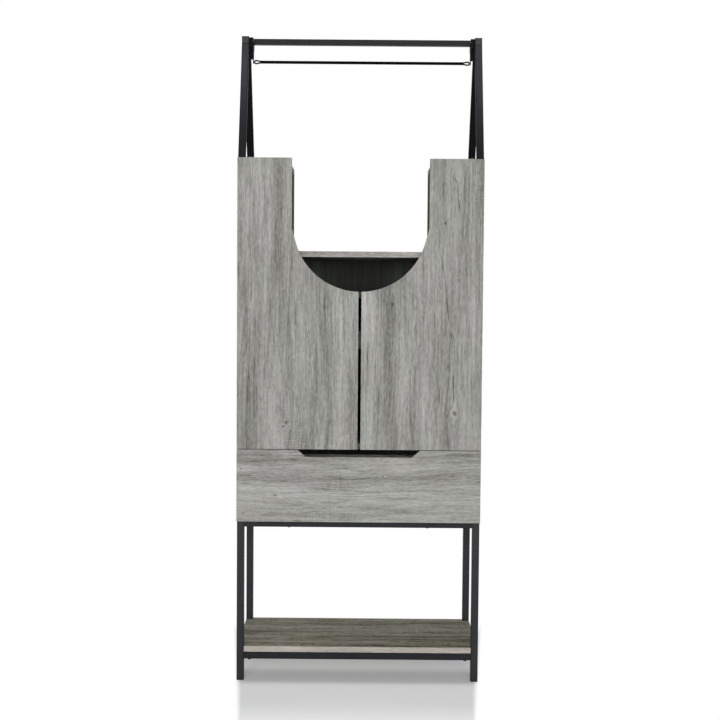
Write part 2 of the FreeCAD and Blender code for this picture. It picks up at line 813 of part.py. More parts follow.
bolt_radius = size("bolt_radius")
x_bracket = x_tube - size("bracket_thick")
half_bracket = size("bracket_width") / 2
half_neck = size("bracket_neck") / 2
z_bolt = z_top - tube / 2
z_shoulder = z_top - size("bracket_top_drop") - size("bracket_shoulder")
z_neck = z_shoulder - (half_bracket - half_neck)
z_bracket = z_top - size("bracket_drop")
z_wire = z_top - size("wire_drop")
bolt_offset = half_bracket - size("bolt_head_radius") - size("bolt_edge")
bolt_places = (y_apex - bolt_offset, y_apex + bolt_offset)
apex_blocks = []
apex_plugs = []
brackets = []
bracket_bolts = []
for side, sign in SIDES.items():
    block_x = (sign * x_tube, sign * half_width)
    bolt_holes = [rod((sign * (x_tube - overrun), y, z_bolt), OUTWARD[side], bolt_radius + fit_play,
                      tube_wall + 2 * overrun) for y in bolt_places]
    apex_blocks.append(square_tube(block_x, (y_heads["front"], y_heads["rear"]), (z_block, z_top), 1,
                                   bolt_holes))
    plug_x = (sign * (x_tube + plug), sign * (half_width - plug))
    for y_end, sense in ((y_heads["front"], 1), (y_heads["rear"], -1)):
        plug_y = (y_end, y_end + sense * size("foot_plug"))
        apex_plugs.append(box(plug_x, plug_y, (z_block + plug, z_top - plug)))

    bracket = new_body()
    profile = outline(bracket, "YZ_Plane", [
        (y_apex - half_bracket, z_top - size("bracket_top_drop")), (y_apex - half_bracket, z_shoulder),
        (y_apex - half_neck, z_neck), (y_apex - half_neck, z_bracket),
        (y_apex + half_neck, z_bracket), (y_apex + half_neck, z_neck),
        (y_apex + half_bracket, z_shoulder), (y_apex + half_bracket, z_top - size("bracket_top_drop")),
    ])
    pad(bracket, profile, size("bracket_thick"))
    bolt_sketch = circles(bracket, "YZ_Plane", [(y, z_bolt) for y in bolt_places],
                          bolt_radius + fit_play, size("bracket_thick") + overrun)
    pocket(bracket, bolt_sketch, size("bracket_thick") + 2 * overrun)
    bind(bracket, "Placement.Base.x", ordered(sign * x_bracket, sign * x_tube)[0])
    half_tongue = size("tongue_width") / 2
    tongue = box((sign * x_bracket, sign * (x_bracket + size("tongue"))),
                 (y_apex - half_tongue, y_apex + half_tongue), (z_wire - half_tongue, z_bracket + overrun))
    brackets.append(fuse([bracket, tongue]))
    for y in bolt_places:
        seat = (sign * x_bracket, y, z_bolt)
        head = rod(seat, INWARD[side], size("bolt_head_radius"), size("bolt_head"))
        shank = rod(seat, OUTWARD[side], bolt_radius, size("bracket_thick") + size("bolt_reach"))
        bracket_bolts.append(fuse([head, shank]))
node("apex_blocks", group(apex_blocks))
node("apex_end_plugs", group(apex_plugs))
node("crossbar_brackets", group(brackets))
node("bracket_bolts", group(bracket_bolts))

half_crossbar = size("crossbar_tube") / 2
z_crossbar = z_top - size("crossbar_drop")
node("crossbar", square_tube((-x_bracket, x_bracket), (y_apex - half_crossbar, y_apex + half_crossbar),
                             (z_crossbar - size("crossbar_tube"), z_crossbar), 0))

# Wire rail: two strands that open into an eye at each end

wire_radius = size("wire") / 2
strand_rise = wire_radius + size("strand_gap") / 2
eye_radius = size("eye_height") / 2 - wire_radius
x_eye = x_bracket - seat_play
x_ring = x_eye - wire_radius - eye_radius
x_tip = x_eye - size("eye_length")
flare_run = x_ring - x_tip
flare_rise = eye_radius - strand_rise
flare_angle = arctangent(flare_rise / flare_run)
flare_length = root(flare_run * flare_run + flare_rise * flare_rise)


def flare(sign, level):
    """The slanting wire from a strand's end to the top or bottom of its eye."""
    item = rod((sign * x_tip, y_apex, z_wire + level * strand_rise), Z_AXIS, wire_radius, flare_length)
    item.Placement.Rotation = FreeCAD.Rotation(FreeCAD.Vector(*Y_AXIS), sign * HALF_TURN / 2)
    bind(item, "Placement.Rotation.Angle", sign * (quarter_turn - level * flare_angle))
    return item


def half_ring(sign):
    item = doc.addObject("Part::Torus", "eye")
    side_way = FreeCAD.Vector(sign, 0, 0)
    start_way = FreeCAD.Vector(0, 0, sign)
    item.Placement.Rotation = FreeCAD.Rotation(start_way, side_way, FreeCAD.Vector(*Y_AXIS), "XYZ")
    bind(item, "Radius1", eye_radius)
    bind(item, "Radius2", wire_radius)
    item.Angle3 = HALF_TURN
    bind_place(item, sign * x_ring, y_apex, z_wire)
    return item


wire_parts = []
for level in (-1, 1):
    z_strand = z_wire + level * strand_rise
    wire_parts.append(rod((-x_tip, y_apex, z_strand), X_AXIS, wire_radius, 2 * x_tip))
    for sign in SIDES.values():
        wire_parts.append(flare(sign, level))
        wire_parts.append(ball((sign * x_tip, y_apex, z_strand), wire_radius))
        wire_parts.append(ball((sign * x_ring, y_apex, z_wire + level * eye_radius), wire_radius))
wire_parts += [half_ring(sign) for sign in SIDES.values()]
node("wire_rail", fuse(wire_parts))

# Doors, each with two concealed hinges whose pin turns inside the cup

neck = size("neck")
half_neck_width = size("neck_width") / 2
cup_radius = size("cup_radius")
cup_inner = cup_radius - size("cup_wall")
cup_inset = cup_radius + size("cup_edge")
pin_depth = (door_board - size("cup_depth") + size("cup_floor") + size("knuckle_radius")
             + size("knuckle_play"))
pin_across = cup_inset - size("pin_inset") + size("pin_radius")
pin_half = root((cup_radius - size("cup_wall") / 2) * (cup_radius - size("cup_wall") / 2)
                - pin_across * pin_across)
x_arm = board + size("plate_thick")
hinge_arms = []
hinge_plates = []
hinge_screws = []


def hinge_arm(sign, z):
    """The fixed arm: a knuckle on the pin, a bent neck out of the cup, and a bar on its plate."""
    def across(inset):
        return sign * (half_width - inset)

    z_neck_span = (z - half_neck_width, z + half_neck_width)
    y_pin = y_door + pin_depth
    knuckle = rod((across(size("pin_inset")), y_pin, z - half_neck_width), Z_AXIS,
                  size("knuckle_radius"), size("neck_width"))
    shelf_part = box((across(size("pin_inset")), across(cup_inset + neck / 2)),
                     (y_pin - neck / 2, y_pin + neck / 2), z_neck_span)
    stem = box((across(cup_inset - neck / 2), across(cup_inset + neck / 2)),
               (y_pin - neck / 2, y_plate + neck), z_neck_span)
    bar = box((across(x_arm), across(x_arm + size("arm_thick"))), (y_plate, y_plate + size("arm_length")),
              (z - size("arm_width") / 2, z + size("arm_width") / 2))
    bore = rod((across(size("pin_inset")), y_pin, z - half_neck_width - overrun), Z_AXIS,
               size("pin_radius") + size("pin_play"), size("neck_width") + 2 * overrun)
    return cut(fuse([knuckle, shelf_part, stem, bar]), [bore])


def hinge_cup(sign, z):
    """The cup that is let into the door, with its flange, ears and pin."""
    x_cup = sign * (half_width - cup_inset)
    half_ear = size("cup_ear") / 2
    y_flange = y_door_back + size("cup_flange")
    shell = rod((x_cup, y_door_back, z), Y_BACK, cup_radius, size("cup_depth"))
    flange = rod((x_cup, y_door_back, z), Y_AXIS, size("cup_flange_radius"), size("cup_flange"))
    ears = box((x_cup - half_ear, x_cup + half_ear), (y_door_back, y_flange),
               (z - size("cup_ear_span") / 2, z + size("cup_ear_span") / 2))
    hollow_depth = size("cup_depth") - size("cup_floor") + size("cup_flange") + overrun
    hollow = rod((x_cup, y_flange + overrun, z), Y_BACK, cup_inner, hollow_depth)
    holes = [rod((x_cup, y_flange + overrun, z + level * size("cup_screw_span") / 2), Y_BACK,
                 screw_hole_radius, size("cup_flange") + 2 * overrun) for level in (-1, 1)]
    pin = rod((sign * (half_width - size("pin_inset")), y_door + pin_depth, z - pin_half), Z_AXIS,
              size("pin_radius"), 2 * pin_half)
    return fuse([cut(fuse([shell, flange, ears]), [hollow, *holes]), pin])


cut_centre = z_door_high - size("cut_centre_drop")
cut_radius = size("cut_radius")
cut_flare = size("cut_flare")
x_tangent = cut_radius * cosine(cut_flare)
x_cut = x_tangent + size("cut_widening")
z_tangent = cut_centre - cut_radius * sine(cut_flare)
z_cut = z_tangent + size("cut_widening") * cosine(cut_flare) / sine(cut_flare)
x_meeting = size("meeting_gap") / 2
x_strike = x_meeting + size("strike_inset")
z_strike = z_middle - size("catch_height") / 2
half_strike = size("strike_height") / 2

for side, sign in SIDES.items():
    door = new_body()
    blank = outline(door, "XZ_Plane", [
        (sign * half_width, z_door_low), (sign * x_meeting, z_door_low),
        (sign * x_meeting, z_door_high), (sign * half_width, z_door_high),
    ])
    pad(door, blank, door_board, reverse=True)
    cut_sketch = outline(door, "XZ_Plane", [
        (sign * x_cut, z_door_high + overrun), (sign * x_cut, z_cut), (sign * x_tangent, z_tangent),
        (0, cut_centre - cut_radius), (0, z_door_high + overrun),
    ], arcs={2: (0, cut_centre)}, offset=overrun)
    pocket(door, cut_sketch, door_board + 2 * overrun)
    x_cup = sign * (half_width - cup_inset)
    cup_bore = size("cup_depth") + fit_play
    cup_sketch = circles(door, "XZ_Plane", [(x_cup, z) for z in z_hinges], cup_radius + fit_play,
                         cup_bore - door_board)
    pocket(door, cup_sketch, cup_bore + overrun)
    screw_places = [(x_cup, z + level * size("cup_screw_span") / 2) for z in z_hinges for level in (-1, 1)]
    bite = size("screw_bite") + fit_play
    screw_sketch = circles(door, "XZ_Plane", screw_places, screw_hole_radius, bite - door_board)
    pocket(door, screw_sketch, bite + overrun)
    bind(door, "Placement.Base.y", y_door)
    node(f"{side}_door", door)

    cups = [hinge_cup(sign, z) for z in z_hinges]
    y_flange = y_door_back + size("cup_flange")
    cups += [screw((x, y_flange, z), Y_BACK, size("cup_flange") + size("screw_bite"))
             for x, z in screw_places]
    node(f"{side}_hinge_cups", group(cups))
    strike = box((sign * x_strike, sign * (x_strike + size("strike_width"))),
                 (y_door_back, y_door_back + size("strike")),
                 (z_strike - half_strike, z_strike + half_strike))
    node(f"{side}_strike_plate", strike)

    for z in z_hinges:
        hinge_arms.append(hinge_arm(sign, z))
        places = [z + level * size("plate_screw_span") / 2 for level in (-1, 1)]
        x_seat = sign * (x_panel - size("plate_thick"))
        plate = box((sign * x_panel, x_seat), (y_plate, y_plate + size("plate_length")),
                    (z - size("plate_height") / 2, z + size("plate_height") / 2))
        hinge_plates.append(cut(plate, [
            rod((sign * (x_panel - size("plate_thick") - overrun), y_plate_screw, z_screw),
                OUTWARD[side], screw_hole_radius, size("plate_thick") + 2 * overrun)
            for z_screw in places
        ]))
        for z_screw in places:
            hinge_screws.append(screw((x_seat, y_plate_screw, z_screw), OUTWARD[side],
                                      size("plate_thick") + size("screw_bite")))
node("hinge_arms", group(hinge_arms))
node("hinge_plates", group(hinge_plates))
node("hinge_screws", group(hinge_screws))

# Double magnet catch under the middle shelf

half_catch = size("catch_width") / 2
half_magnet = size("magnet_height") / 2
y_magnet = y_door_back + size("strike") + seat_play
y_magnet_back = y_front + size("magnet_sunk")
z_catch_flange = z_middle - size("catch_flange")
case = box((-half_catch, half_catch), (y_front, y_front + size("catch_depth")),
           (z_middle - size("catch_height"), z_middle))
flange = box((-half_catch - size("catch_ear"), half_catch + size("catch_ear")),
             (y_front + size("middle_setback"), y_front + size("catch_depth")), (z_catch_flange, z_middle))
catch_tools = []
catch_parts = []
for sign in SIDES.values():
    x_magnet = sign * (x_strike + size("strike_width") / 2)
    half_span = size("magnet_width") / 2
    catch_parts.append(box((x_magnet - half_span, x_magnet + half_span), (y_magnet, y_magnet_back),
                           (z_strike - half_magnet, z_strike + half_magnet)))
    catch_tools.append(box((x_magnet - half_span - fit_play, x_magnet + half_span + fit_play),
                           (y_magnet, y_magnet_back),
                           (z_strike - half_magnet - fit_play, z_strike + half_magnet + fit_play)))
    seat = (sign * x_catch_screw, y_catch_screw, z_catch_flange)
    catch_tools.append(rod((seat[0], seat[1], seat[2] - overrun), Z_AXIS, screw_hole_radius,
                           size("catch_flange") + 2 * overrun))
    catch_parts.append(screw(seat, Z_AXIS, size("catch_flange") + size("screw_bite")))
node("magnet_catch", group([cut(fuse([case, flange]), catch_tools), *catch_parts]))

# Drawer: front, box and bottom panel

front = new_body()
blank = outline(front, "XZ_Plane", [
    (-half_width, z_drawer_low), (half_width, z_drawer_low),
    (half_width, z_drawer_high), (-half_width, z_drawer_high),
])
pad(front, blank, door_board, reverse=True)
half_pull = size("pull_width") / 2
half_flat = size("pull_flat") / 2
z_pull = z_drawer_high - size("pull_depth")
splay = (half_pull - half_flat) / size("pull_depth") * overrun
pull_sketch = outline(front, "XZ_Plane", [
    (-half_pull - splay, z_drawer_high + overrun), (-half_flat, z_pull),
    (half_flat, z_pull), (half_pull + splay, z_drawer_high + overrun),
], offset=overrun)
pocket(front, pull_sketch, door_board + 2 * overrun)
round_edges(front, size("pull_round"), half_flat, z_pull)

box_board = size("box_board")
x_box = x_panel - size("slide_space")
x_box_inner = x_box - box_board
z_box = z_base_board + size("box_rise")
z_box_high = z_box + size("box_height")
box_fixing_shares = (0.3, 0.85)
z_fixings = [z_box + share * size("box_height") for share in box_fixing_shares]
dowel_bite = size("drawer_dowel_in_front") + fit_play
dowel_places = [(sign * (x_box - box_board / 2), z) for sign in SIDES.values() for z in z_fixings]
dowel_sketch = circles(front, "XZ_Plane", dowel_places, size("drawer_dowel_radius") + fit_play,
                       dowel_bite - door_board)
pocket(front, dowel_sketch, dowel_bite + overrun)
bind(front, "Placement.Base.y", y_door)
node("drawer_front", front)

y_box_end = y_back - size("box_rear_gap")
y_box_back = y_box_end - box_board
z_panel_low = z_box + size("drawer_panel_rise")
z_panel_high = z_panel_low + size("drawer_panel")
groove = size("groove")
groove_z = (z_panel_low - fit_play, z_panel_high + fit_play)
node("drawer_bottom", box((-x_box_inner - groove, x_box_inner + groove), (y_door_back, y_box_back + groove),
                          (z_panel_low, z_panel_high)))
drawer_fixings = []
back_holes = [box((-x_box_inner - overrun, x_box_inner + overrun),
                  (y_box_back - overrun, y_box_back + groove + fit_play), groove_z)]
dowel_length = size("drawer_dowel_in_front") + size("drawer_dowel_in_side")
for side, sign in SIDES.items():
    side_tools = [box((sign * (x_box_inner - overrun), sign * (x_box_inner + groove + fit_play)),
                      (y_door_back - overrun, y_box_back + groove + fit_play), groove_z)]
    for z in z_fixings:
        seat = (sign * x_box, y_box_end - box_board / 2, z)
        reach = box_board + size("screw_bite")
        drawer_fixings.append(screw(seat, INWARD[side], reach))
        side_tools.append(screw_bore(seat, INWARD[side], reach))
        back_holes.append(screw_bore(seat, INWARD[side], reach))
        x_dowel = sign * (x_box - box_board / 2)
        drawer_fixings.append(rod((x_dowel, y_door_back - size("drawer_dowel_in_front"), z), Y_AXIS,
                                  size("drawer_dowel_radius"), dowel_length))
        side_tools.append(rod((x_dowel, y_door_back - overrun, z), Y_AXIS,
                              size("drawer_dowel_radius") + fit_play,
                              size("drawer_dowel_in_side") + overrun + fit_play))
    side_board = box((sign * x_box_inner, sign * x_box), (y_door_back, y_box_end), (z_box, z_box_high))
    node(f"drawer_side_{side}", cut(side_board, side_tools))
back_board = box((-x_box_inner, x_box_inner), (y_box_back, y_box_end), (z_box, z_box_high))
node("drawer_back", cut(back_board, back_holes))
node("drawer_fixings", group(drawer_fixings))

# Ball-bearing drawer slides

steel = size("slide_steel")
z_slide = z_box + size("box_height") / 2
half_slide = size("slide_height") / 2
slide_lip = size("slide_space") - size("slide_lip_gap")
slide_y = (y_front, y_back - size("slide_rear_gap"))
ball_radius = size("ball_radius")
ball_play = size("ball_play")
ball_rise = half_slide - steel - ball_play - ball_radius
half_runner = ball_rise - ball_radius - ball_play
x_ball = x_panel - size("slide_space") / 2
x_cage = x_panel - steel - seat_play
cage_steel = size("cage_steel")
half_cage = size("cage_length") / 2
y_cage = (slide_y[0] + slide_y[1]) / 2
fixed_rails = []
moving_rails = []
cages = []


def channel(web_x, lip_x, half_height, thickness, y_span):
    """A channel with its web across web_x and its two lips across lip_x."""
    web = box(web_x, y_span, (z_slide - half_height, z_slide + half_height))
    upper = box(lip_x, y_span, (z_slide + half_height - thickness, z_slide + half_height))
    lower = box(lip_x, y_span, (z_slide - half_height, z_slide - half_height + thickness))
    return fuse([web, upper, lower])


for sign in SIDES.values():
    fixed_rails.append(channel((sign * (x_panel - steel), sign * x_panel),
                               (sign * (x_panel - slide_lip), sign * x_panel),
                               half_slide, steel, slide_y))
    moving_rails.append(channel((sign * x_box, sign * (x_box + steel)),
                                (sign * x_box, sign * (x_box + slide_lip)),
                                half_runner, steel, slide_y))
    cage = channel((sign * (x_cage - cage_steel), sign * x_cage),
                   (sign * (x_ball - ball_radius - cage_steel), sign * x_cage),
                   ball_rise + cage_steel / 2, cage_steel, (y_cage - half_cage, y_cage + half_cage))
    pockets = []
    for level in (-1, 1):
        z_ball = z_slide + level * ball_rise
        for count in range(BALLS_PER_ROW):
            y_ball = y_cage + (count - (BALLS_PER_ROW - 1) / 2) * size("cage_ball_pitch")
            cages.append(ball((sign * x_ball, y_ball, z_ball), ball_radius))
            pockets.append(rod((sign * x_ball, y_ball, z_ball - cage_steel), Z_AXIS,
                               ball_radius + fit_play, 2 * cage_steel))
    cages.append(cut(cage, pockets))
node("slide_rails_fixed", group(fixed_rails))
node("slide_rails_moving", group(moving_rails))
node("ball_cages", group(cages))

# Checks, then one file for each piece

doc.recompute()
faults = []
for item in doc.Objects:
    if "Invalid" in item.State or "Error" in item.State:
        faults.append(f"{item.Label} ({item.TypeId}) failed")
for item in nodes:
    if item.Shape.isNull() or not item.Shape.isValid() or not item.Shape.Solids:
        faults.append(f"{item.Label} has no valid solid")
if faults:
    raise RuntimeError("; ".join(faults))

os.makedirs("parts", exist_ok=True)
for item in nodes:
    item.Shape.exportStep(f"parts/{item.Label}.step")
    bounds = item.Shape.BoundBox
    print(f"{item.Label}: {len(item.Shape.Solids)} solids, "
          f"x {bounds.XMin:.1f} to {bounds.XMax:.1f}, y {bounds.YMin:.1f} to {bounds.YMax:.1f}, "
          f"z {bounds.ZMin:.1f} to {bounds.ZMax:.1f}")
print(f"{len(nodes)} pieces")
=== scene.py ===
import math
from collections import namedtuple

import bmesh
import bpy
from mathutils import Matrix, Vector


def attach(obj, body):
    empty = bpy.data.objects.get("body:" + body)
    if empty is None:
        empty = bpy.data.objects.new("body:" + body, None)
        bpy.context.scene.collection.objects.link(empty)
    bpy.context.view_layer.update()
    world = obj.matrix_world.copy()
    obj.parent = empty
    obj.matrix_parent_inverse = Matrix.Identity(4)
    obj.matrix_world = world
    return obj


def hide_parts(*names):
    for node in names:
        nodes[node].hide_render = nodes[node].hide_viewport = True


# Looks for a tall cabinet with grey oak doors on a black steel base.
# Metres; X to the right, Y to the rear, Z up; the doors face -Y.

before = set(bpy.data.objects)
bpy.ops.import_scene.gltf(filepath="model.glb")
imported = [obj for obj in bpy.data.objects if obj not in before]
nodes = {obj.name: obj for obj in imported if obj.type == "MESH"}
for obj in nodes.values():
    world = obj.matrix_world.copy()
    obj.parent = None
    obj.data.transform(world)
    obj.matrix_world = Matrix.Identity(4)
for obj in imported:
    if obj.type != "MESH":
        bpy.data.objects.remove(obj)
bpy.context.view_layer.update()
scene = bpy.context.scene
scene.view_settings.view_transform = "Standard"


def linear(level):
    """The linear value of a screen level from 0 to 255, by the sRGB curve."""
    share = level / 255
    return share / 12.92 if share <= 0.04045 else ((share + 0.055) / 1.055) ** 2.4


def paint(red, green, blue):
    """A colour given by its screen levels."""
    return (linear(red), linear(green), linear(blue), 1.0)


def scaled(colour, share):
    """The colour, paler or darker by a share of its tone."""
    return tuple(share * c for c in colour[:3]) + (1.0,)


WHITE = (1.0, 1.0, 1.0, 1.0)

# The colour sockets of a mix node
MIX_A, MIX_B, MIX_RESULT = 6, 7, 2
BEVEL_SAMPLES = 6
# 1 less the cosine between the rounded and the true normal, where an edge counts in full
EDGE_TURN = 0.12
# A finish changes between these values of a cloudy noise, or of a normal's part along one axis
CLOUD, NORMAL_SIDE = (0.3, 0.7), (0.5, 0.6)


class Graph:
    """Short calls that build the nodes of one material or world."""

    def __init__(self, block):
        block.use_nodes = True
        self.block = block
        self.tree = block.node_tree

    def node(self, kind, **settings):
        item = self.tree.nodes.new(kind)
        for key, value in settings.items():
            setattr(item, key, value)
        return item

    def put(self, value, socket):
        if isinstance(value, bpy.types.NodeSocket):
            self.tree.links.new(value, socket)
        else:
            socket.default_value = value

    def math(self, operation, *values, clamp=False):
        item = self.node("ShaderNodeMath", operation=operation, use_clamp=clamp)
        for value, socket in zip(values, item.inputs):
            self.put(value, socket)
        return item.outputs[0]

    def add(self, *values):
        total = values[0]
        for value in values[1:]:
            total = self.math("ADD", total, value)
        return total

    def times(self, a, b):
        return self.math("MULTIPLY", a, b)

    def vector(self, x, y, z):
        item = self.node("ShaderNodeCombineXYZ")
        for value, socket in zip((x, y, z), item.inputs):
            self.put(value, socket)
        return item.outputs[0]

    def place(self, output="Object"):
        """X, Y and Z of the point, or of its normal."""
        item = self.node("ShaderNodeTexCoord")
        split = self.node("ShaderNodeSeparateXYZ")
        self.put(item.outputs[output], split.inputs[0])
        return split.outputs[:]

    def noise(self, vector, scale=1.0, detail=3.0, roughness=0.5):
        item = self.node("ShaderNodeTexNoise")
        self.put(vector, item.inputs["Vector"])
        item.inputs["Scale"].default_value = scale
        item.inputs["Detail"].default_value = detail
        item.inputs["Roughness"].default_value = roughness
        return item.outputs["Fac"]

    def span(self, value, low, high, to_low=0.0, to_high=1.0, smooth=True):
        """The value's range from low to high, mapped to a new range and held at its ends."""
        item = self.node("ShaderNodeMapRange", interpolation_type="SMOOTHSTEP" if smooth else "LINEAR")
        for source, socket in zip((value, low, high, to_low, to_high), item.inputs):
            self.put(source, socket)
        return item.outputs[0]

    def ramp(self, value, stops):
        """A colour ramp through (place, colour) stops."""
        item = self.node("ShaderNodeValToRGB")
        ramp = item.color_ramp
        while len(ramp.elements) < len(stops):
            ramp.elements.new(1.0)
        for element, (place, colour) in zip(ramp.elements, stops):
            element.position = place
            element.color = colour
        self.put(value, item.inputs[0])
        return item.outputs[0]

    def mix(self, factor, a, b, kind="MIX"):
        item = self.node("ShaderNodeMix", data_type="RGBA", blend_type=kind)
        self.put(factor, item.inputs[0])
        self.put(a, item.inputs[MIX_A])
        self.put(b, item.inputs[MIX_B])
        return item.outputs[MIX_RESULT]

    def level(self, colour, share):
        """The colour times a share that may vary from point to point."""
        return self.mix(1.0, colour, self.vector(share, share, share), "MULTIPLY")

    def curve(self, value, points):
        """A smooth line through (value, result) points, both from 0 to 1."""
        item = self.node("ShaderNodeFloatCurve")
        line = item.mapping.curves[0]
        while len(line.points) < len(points):
            line.points.new(0.5, 0.5)
        for point, (a, b) in zip(line.points, points):
            point.location = (a, b)
        item.mapping.update()
        self.put(value, item.inputs["Value"])
        return item.outputs[0]

    def bump(self, height, distance, strength, after=None):
        item = self.node("ShaderNodeBump")
        item.inputs["Strength"].default_value = strength
        item.inputs["Distance"].default_value = distance
        self.put(height, item.inputs["Height"])
        if after is not None:
            self.put(after, item.inputs["Normal"])
        return item.outputs[0]

    def soft_edges(self, radius):
        """Normals that round the object's edges by the radius."""
        item = self.node("ShaderNodeBevel", samples=BEVEL_SAMPLES)
        item.inputs["Radius"].default_value = radius
        return item.outputs[0]

    def edges(self, radius):
        """1 along the object's sharp edges, 0 on its flats."""
        plain = self.node("ShaderNodeNewGeometry").outputs["True Normal"]
        dot = self.node("ShaderNodeVectorMath", operation="DOT_PRODUCT")
        self.put(self.soft_edges(radius), dot.inputs[0])
        self.put(plain, dot.inputs[1])
        return self.span(self.math("SUBTRACT", 1.0, dot.outputs["Value"]), 0.0, EDGE_TURN)

    def seen(self):
        """1 where the camera looks, straight or by gloss or glass, and 0 for the light on things."""
        light = self.node("ShaderNodeLightPath")
        return self.math("MAXIMUM", light.outputs["Is Camera Ray"],
                         self.math("MAXIMUM", light.outputs["Is Glossy Ray"],
                                   light.outputs["Is Transmission Ray"]))

    def merge(self, kind, *shaders):
        """Joins two shaders. A mix takes its factor before them."""
        item = self.node(kind)
        for shader, socket in zip(shaders, item.inputs):
            self.put(shader, socket)
        return item.outputs[0]


class Finish(Graph):
    """The nodes of a new material around its one surface shader."""

    def __init__(self, name):
        super().__init__(bpy.data.materials.new(name))
        self.shader = self.tree.nodes["Principled BSDF"]
        self.output = self.tree.nodes["Material Output"]

    def finish(self, colour, roughness, normal=None, metallic=0.0, specular=0.5):
        self.put(colour, self.shader.inputs["Base Color"])
        self.put(roughness, self.shader.inputs["Roughness"])
        self.shader.inputs["Metallic"].default_value = metallic
        self.shader.inputs["Specular IOR Level"].default_value = specular
        if normal is not None:
            self.put(normal, self.shader.inputs["Normal"])
        return self.block


# Printed grey oak

OAK = ((0.0, paint(70, 67, 60)), (0.25, paint(114, 112, 105)), (0.5, paint(148, 147, 142)),
       (0.75, paint(174, 174, 169)), (1.0, paint(197, 197, 193)))
SHELF_OAK = ((0.0, paint(50, 46, 35)), (0.25, paint(106, 101, 84)), (0.5, paint(156, 152, 134)),
             (0.75, paint(190, 186, 172)), (1.0, paint(212, 209, 198)))
# The partitions' darker stops are painted shade on their inner faces
INNER_OAK_PAINTED_SHADE = ((0.0, paint(52, 48, 39)), (0.25, paint(88, 85, 73)), (0.5, paint(116, 113, 101)),
             (0.75, paint(138, 135, 124)), (1.0, paint(156, 154, 145)))
# The second band darkens the inner shelves' edges: painted shade where they lie behind the doors
PALE_BAND, PAINTED_SHADE_BAND = (1.24, 1.20, 1.24, 1.0), (0.42, 0.41, 0.40, 1.0)
SHELF_FRONT, EDGE_PLAIN_SHARE = paint(198, 191, 185), 0.72
BAND_SPECK, BAND_SPECK_SHARE = paint(104, 96, 84), 0.35
# Paler corners: partly wear, partly a painted highlight along the arris
WEAR_AND_HIGHLIGHT, WEAR_AND_HIGHLIGHT_WIDTH = (1.28, 1.27, 1.25, 1.0), 0.0016
PINK, GREEN = (1.015, 0.992, 0.996, 1.0), (0.99, 1.003, 0.984, 1.0)

# Noise stretched along the grain: cells per metre across and along it, and its weight in the tone
Layer = namedtuple("Layer", "across along detail offset weight roughness", defaults=(0.0, 0.5))
GRAIN = {
    "broad": Layer(13.0, 1.2, 1.0, 0.0, 0.62),
    "strip": Layer(36.0, 2.6, 2.0, 5.3, 0.40),
    "streak": Layer(105.0, 4.6, 2.0, 3.1, 0.44),
    "fine": Layer(250.0, 13.0, 2.0, 7.7, 0.56),
    "tick": Layer(310.0, 70.0, 1.0, 13.9, 0.46),
    "fibre": Layer(1100.0, 70.0, 2.0, 11.3, 0.34, roughness=0.6),
}
RAY = Layer(30.0, 210.0, 1.0, 19.1, 0.30)
CHECK = Layer(15.0, 0.9, 2.0, 29.0)

# Where a mark shows: a layer, and the noise values between which it comes in
RAYS_HERE = (Layer(14.0, 7.0, 1.0, 37.0), 0.56, 0.70)
CHECKS_HERE = (Layer(10.0, 3.6, 1.0, 31.0), 0.55, 0.68)
DASHES_HERE = (Layer(16.0, 5.0, 1.0, 43.0), 0.50, 0.62)
DASHES = (Layer(210.0, 11.0, 1.0, 47.0), 0.66, 0.76)
SPECKS = (Layer(240.0, 60.0, 2.0, 53.0), 0.62, 0.72)
PORES = (0.60, 0.72)
CHECK_WIDTH = 0.010
DASH_DEPTH, CHECK_DEPTH, PORE_DEPTH = 0.24, 0.16, 0.10

# The tone of 0 to 1 that a board has on average, and the slow change of its hue
MIDDLE_TONE = 0.53
HUE_ACROSS, HUE_ALONG, HUE_OFFSET, HUE_RANGE = 9.0, 3.5, 41.0, (0.38, 0.62)
# How far the grain strays sideways in metres, and the noise that leads it
WANDER, WANDER_ACROSS, WANDER_ALONG = 0.03, 4.0, 2.6
# Cracks: the room beside their line and its stray in metres, their taper to both ends, ragged sides,
# and a faint halo some crack widths wide
CRACK_MARGIN, CRACK_WANDER, CRACK_TAPER = 0.002, 0.006, 7.0
CRACK_RAGS, RAG_RANGE, RAG_LEAST = 70.0, (0.34, 0.52), 0.45
HALO_WIDTH, HALO_DEPTH = 5, 0.05
# Knots: dark and ragged, and the grain bends round them as far as some knot sizes away
KNOT_DEPTH, KNOT_FADE, KNOT_RAGS, KNOT_RAG_SIZE = 0.42, (0.1, 1.25), (170.0, 100.0), 1.7
KNOT_PULL, KNOT_REACH_ACROSS, KNOT_REACH_ALONG = 0.85, 3.2, 4.5
# Roughness of dark and pale tones, and the relief of the print with its rounded corners, in metres
ROUGH_TONES, ROUGH_DARK, ROUGH_PALE = (0.2, 0.9), 0.60, 0.48
FIBRE_HEIGHT, FINE_HEIGHT, DARK_HEIGHT = 0.5, 0.4, 1.6
BOARD_ROUND, BOARD_RELIEF, BOARD_RELIEF_SHARE = 0.0009, 0.0004, 0.5


def swapped(place, grain):
    """(across, thickness, along) of the place, for grain that runs along X, Y or Z."""
    x, y, z = place
    return {"X": (z, y, x), "Y": (x, z, y), "Z": (x, y, z)}[grain]


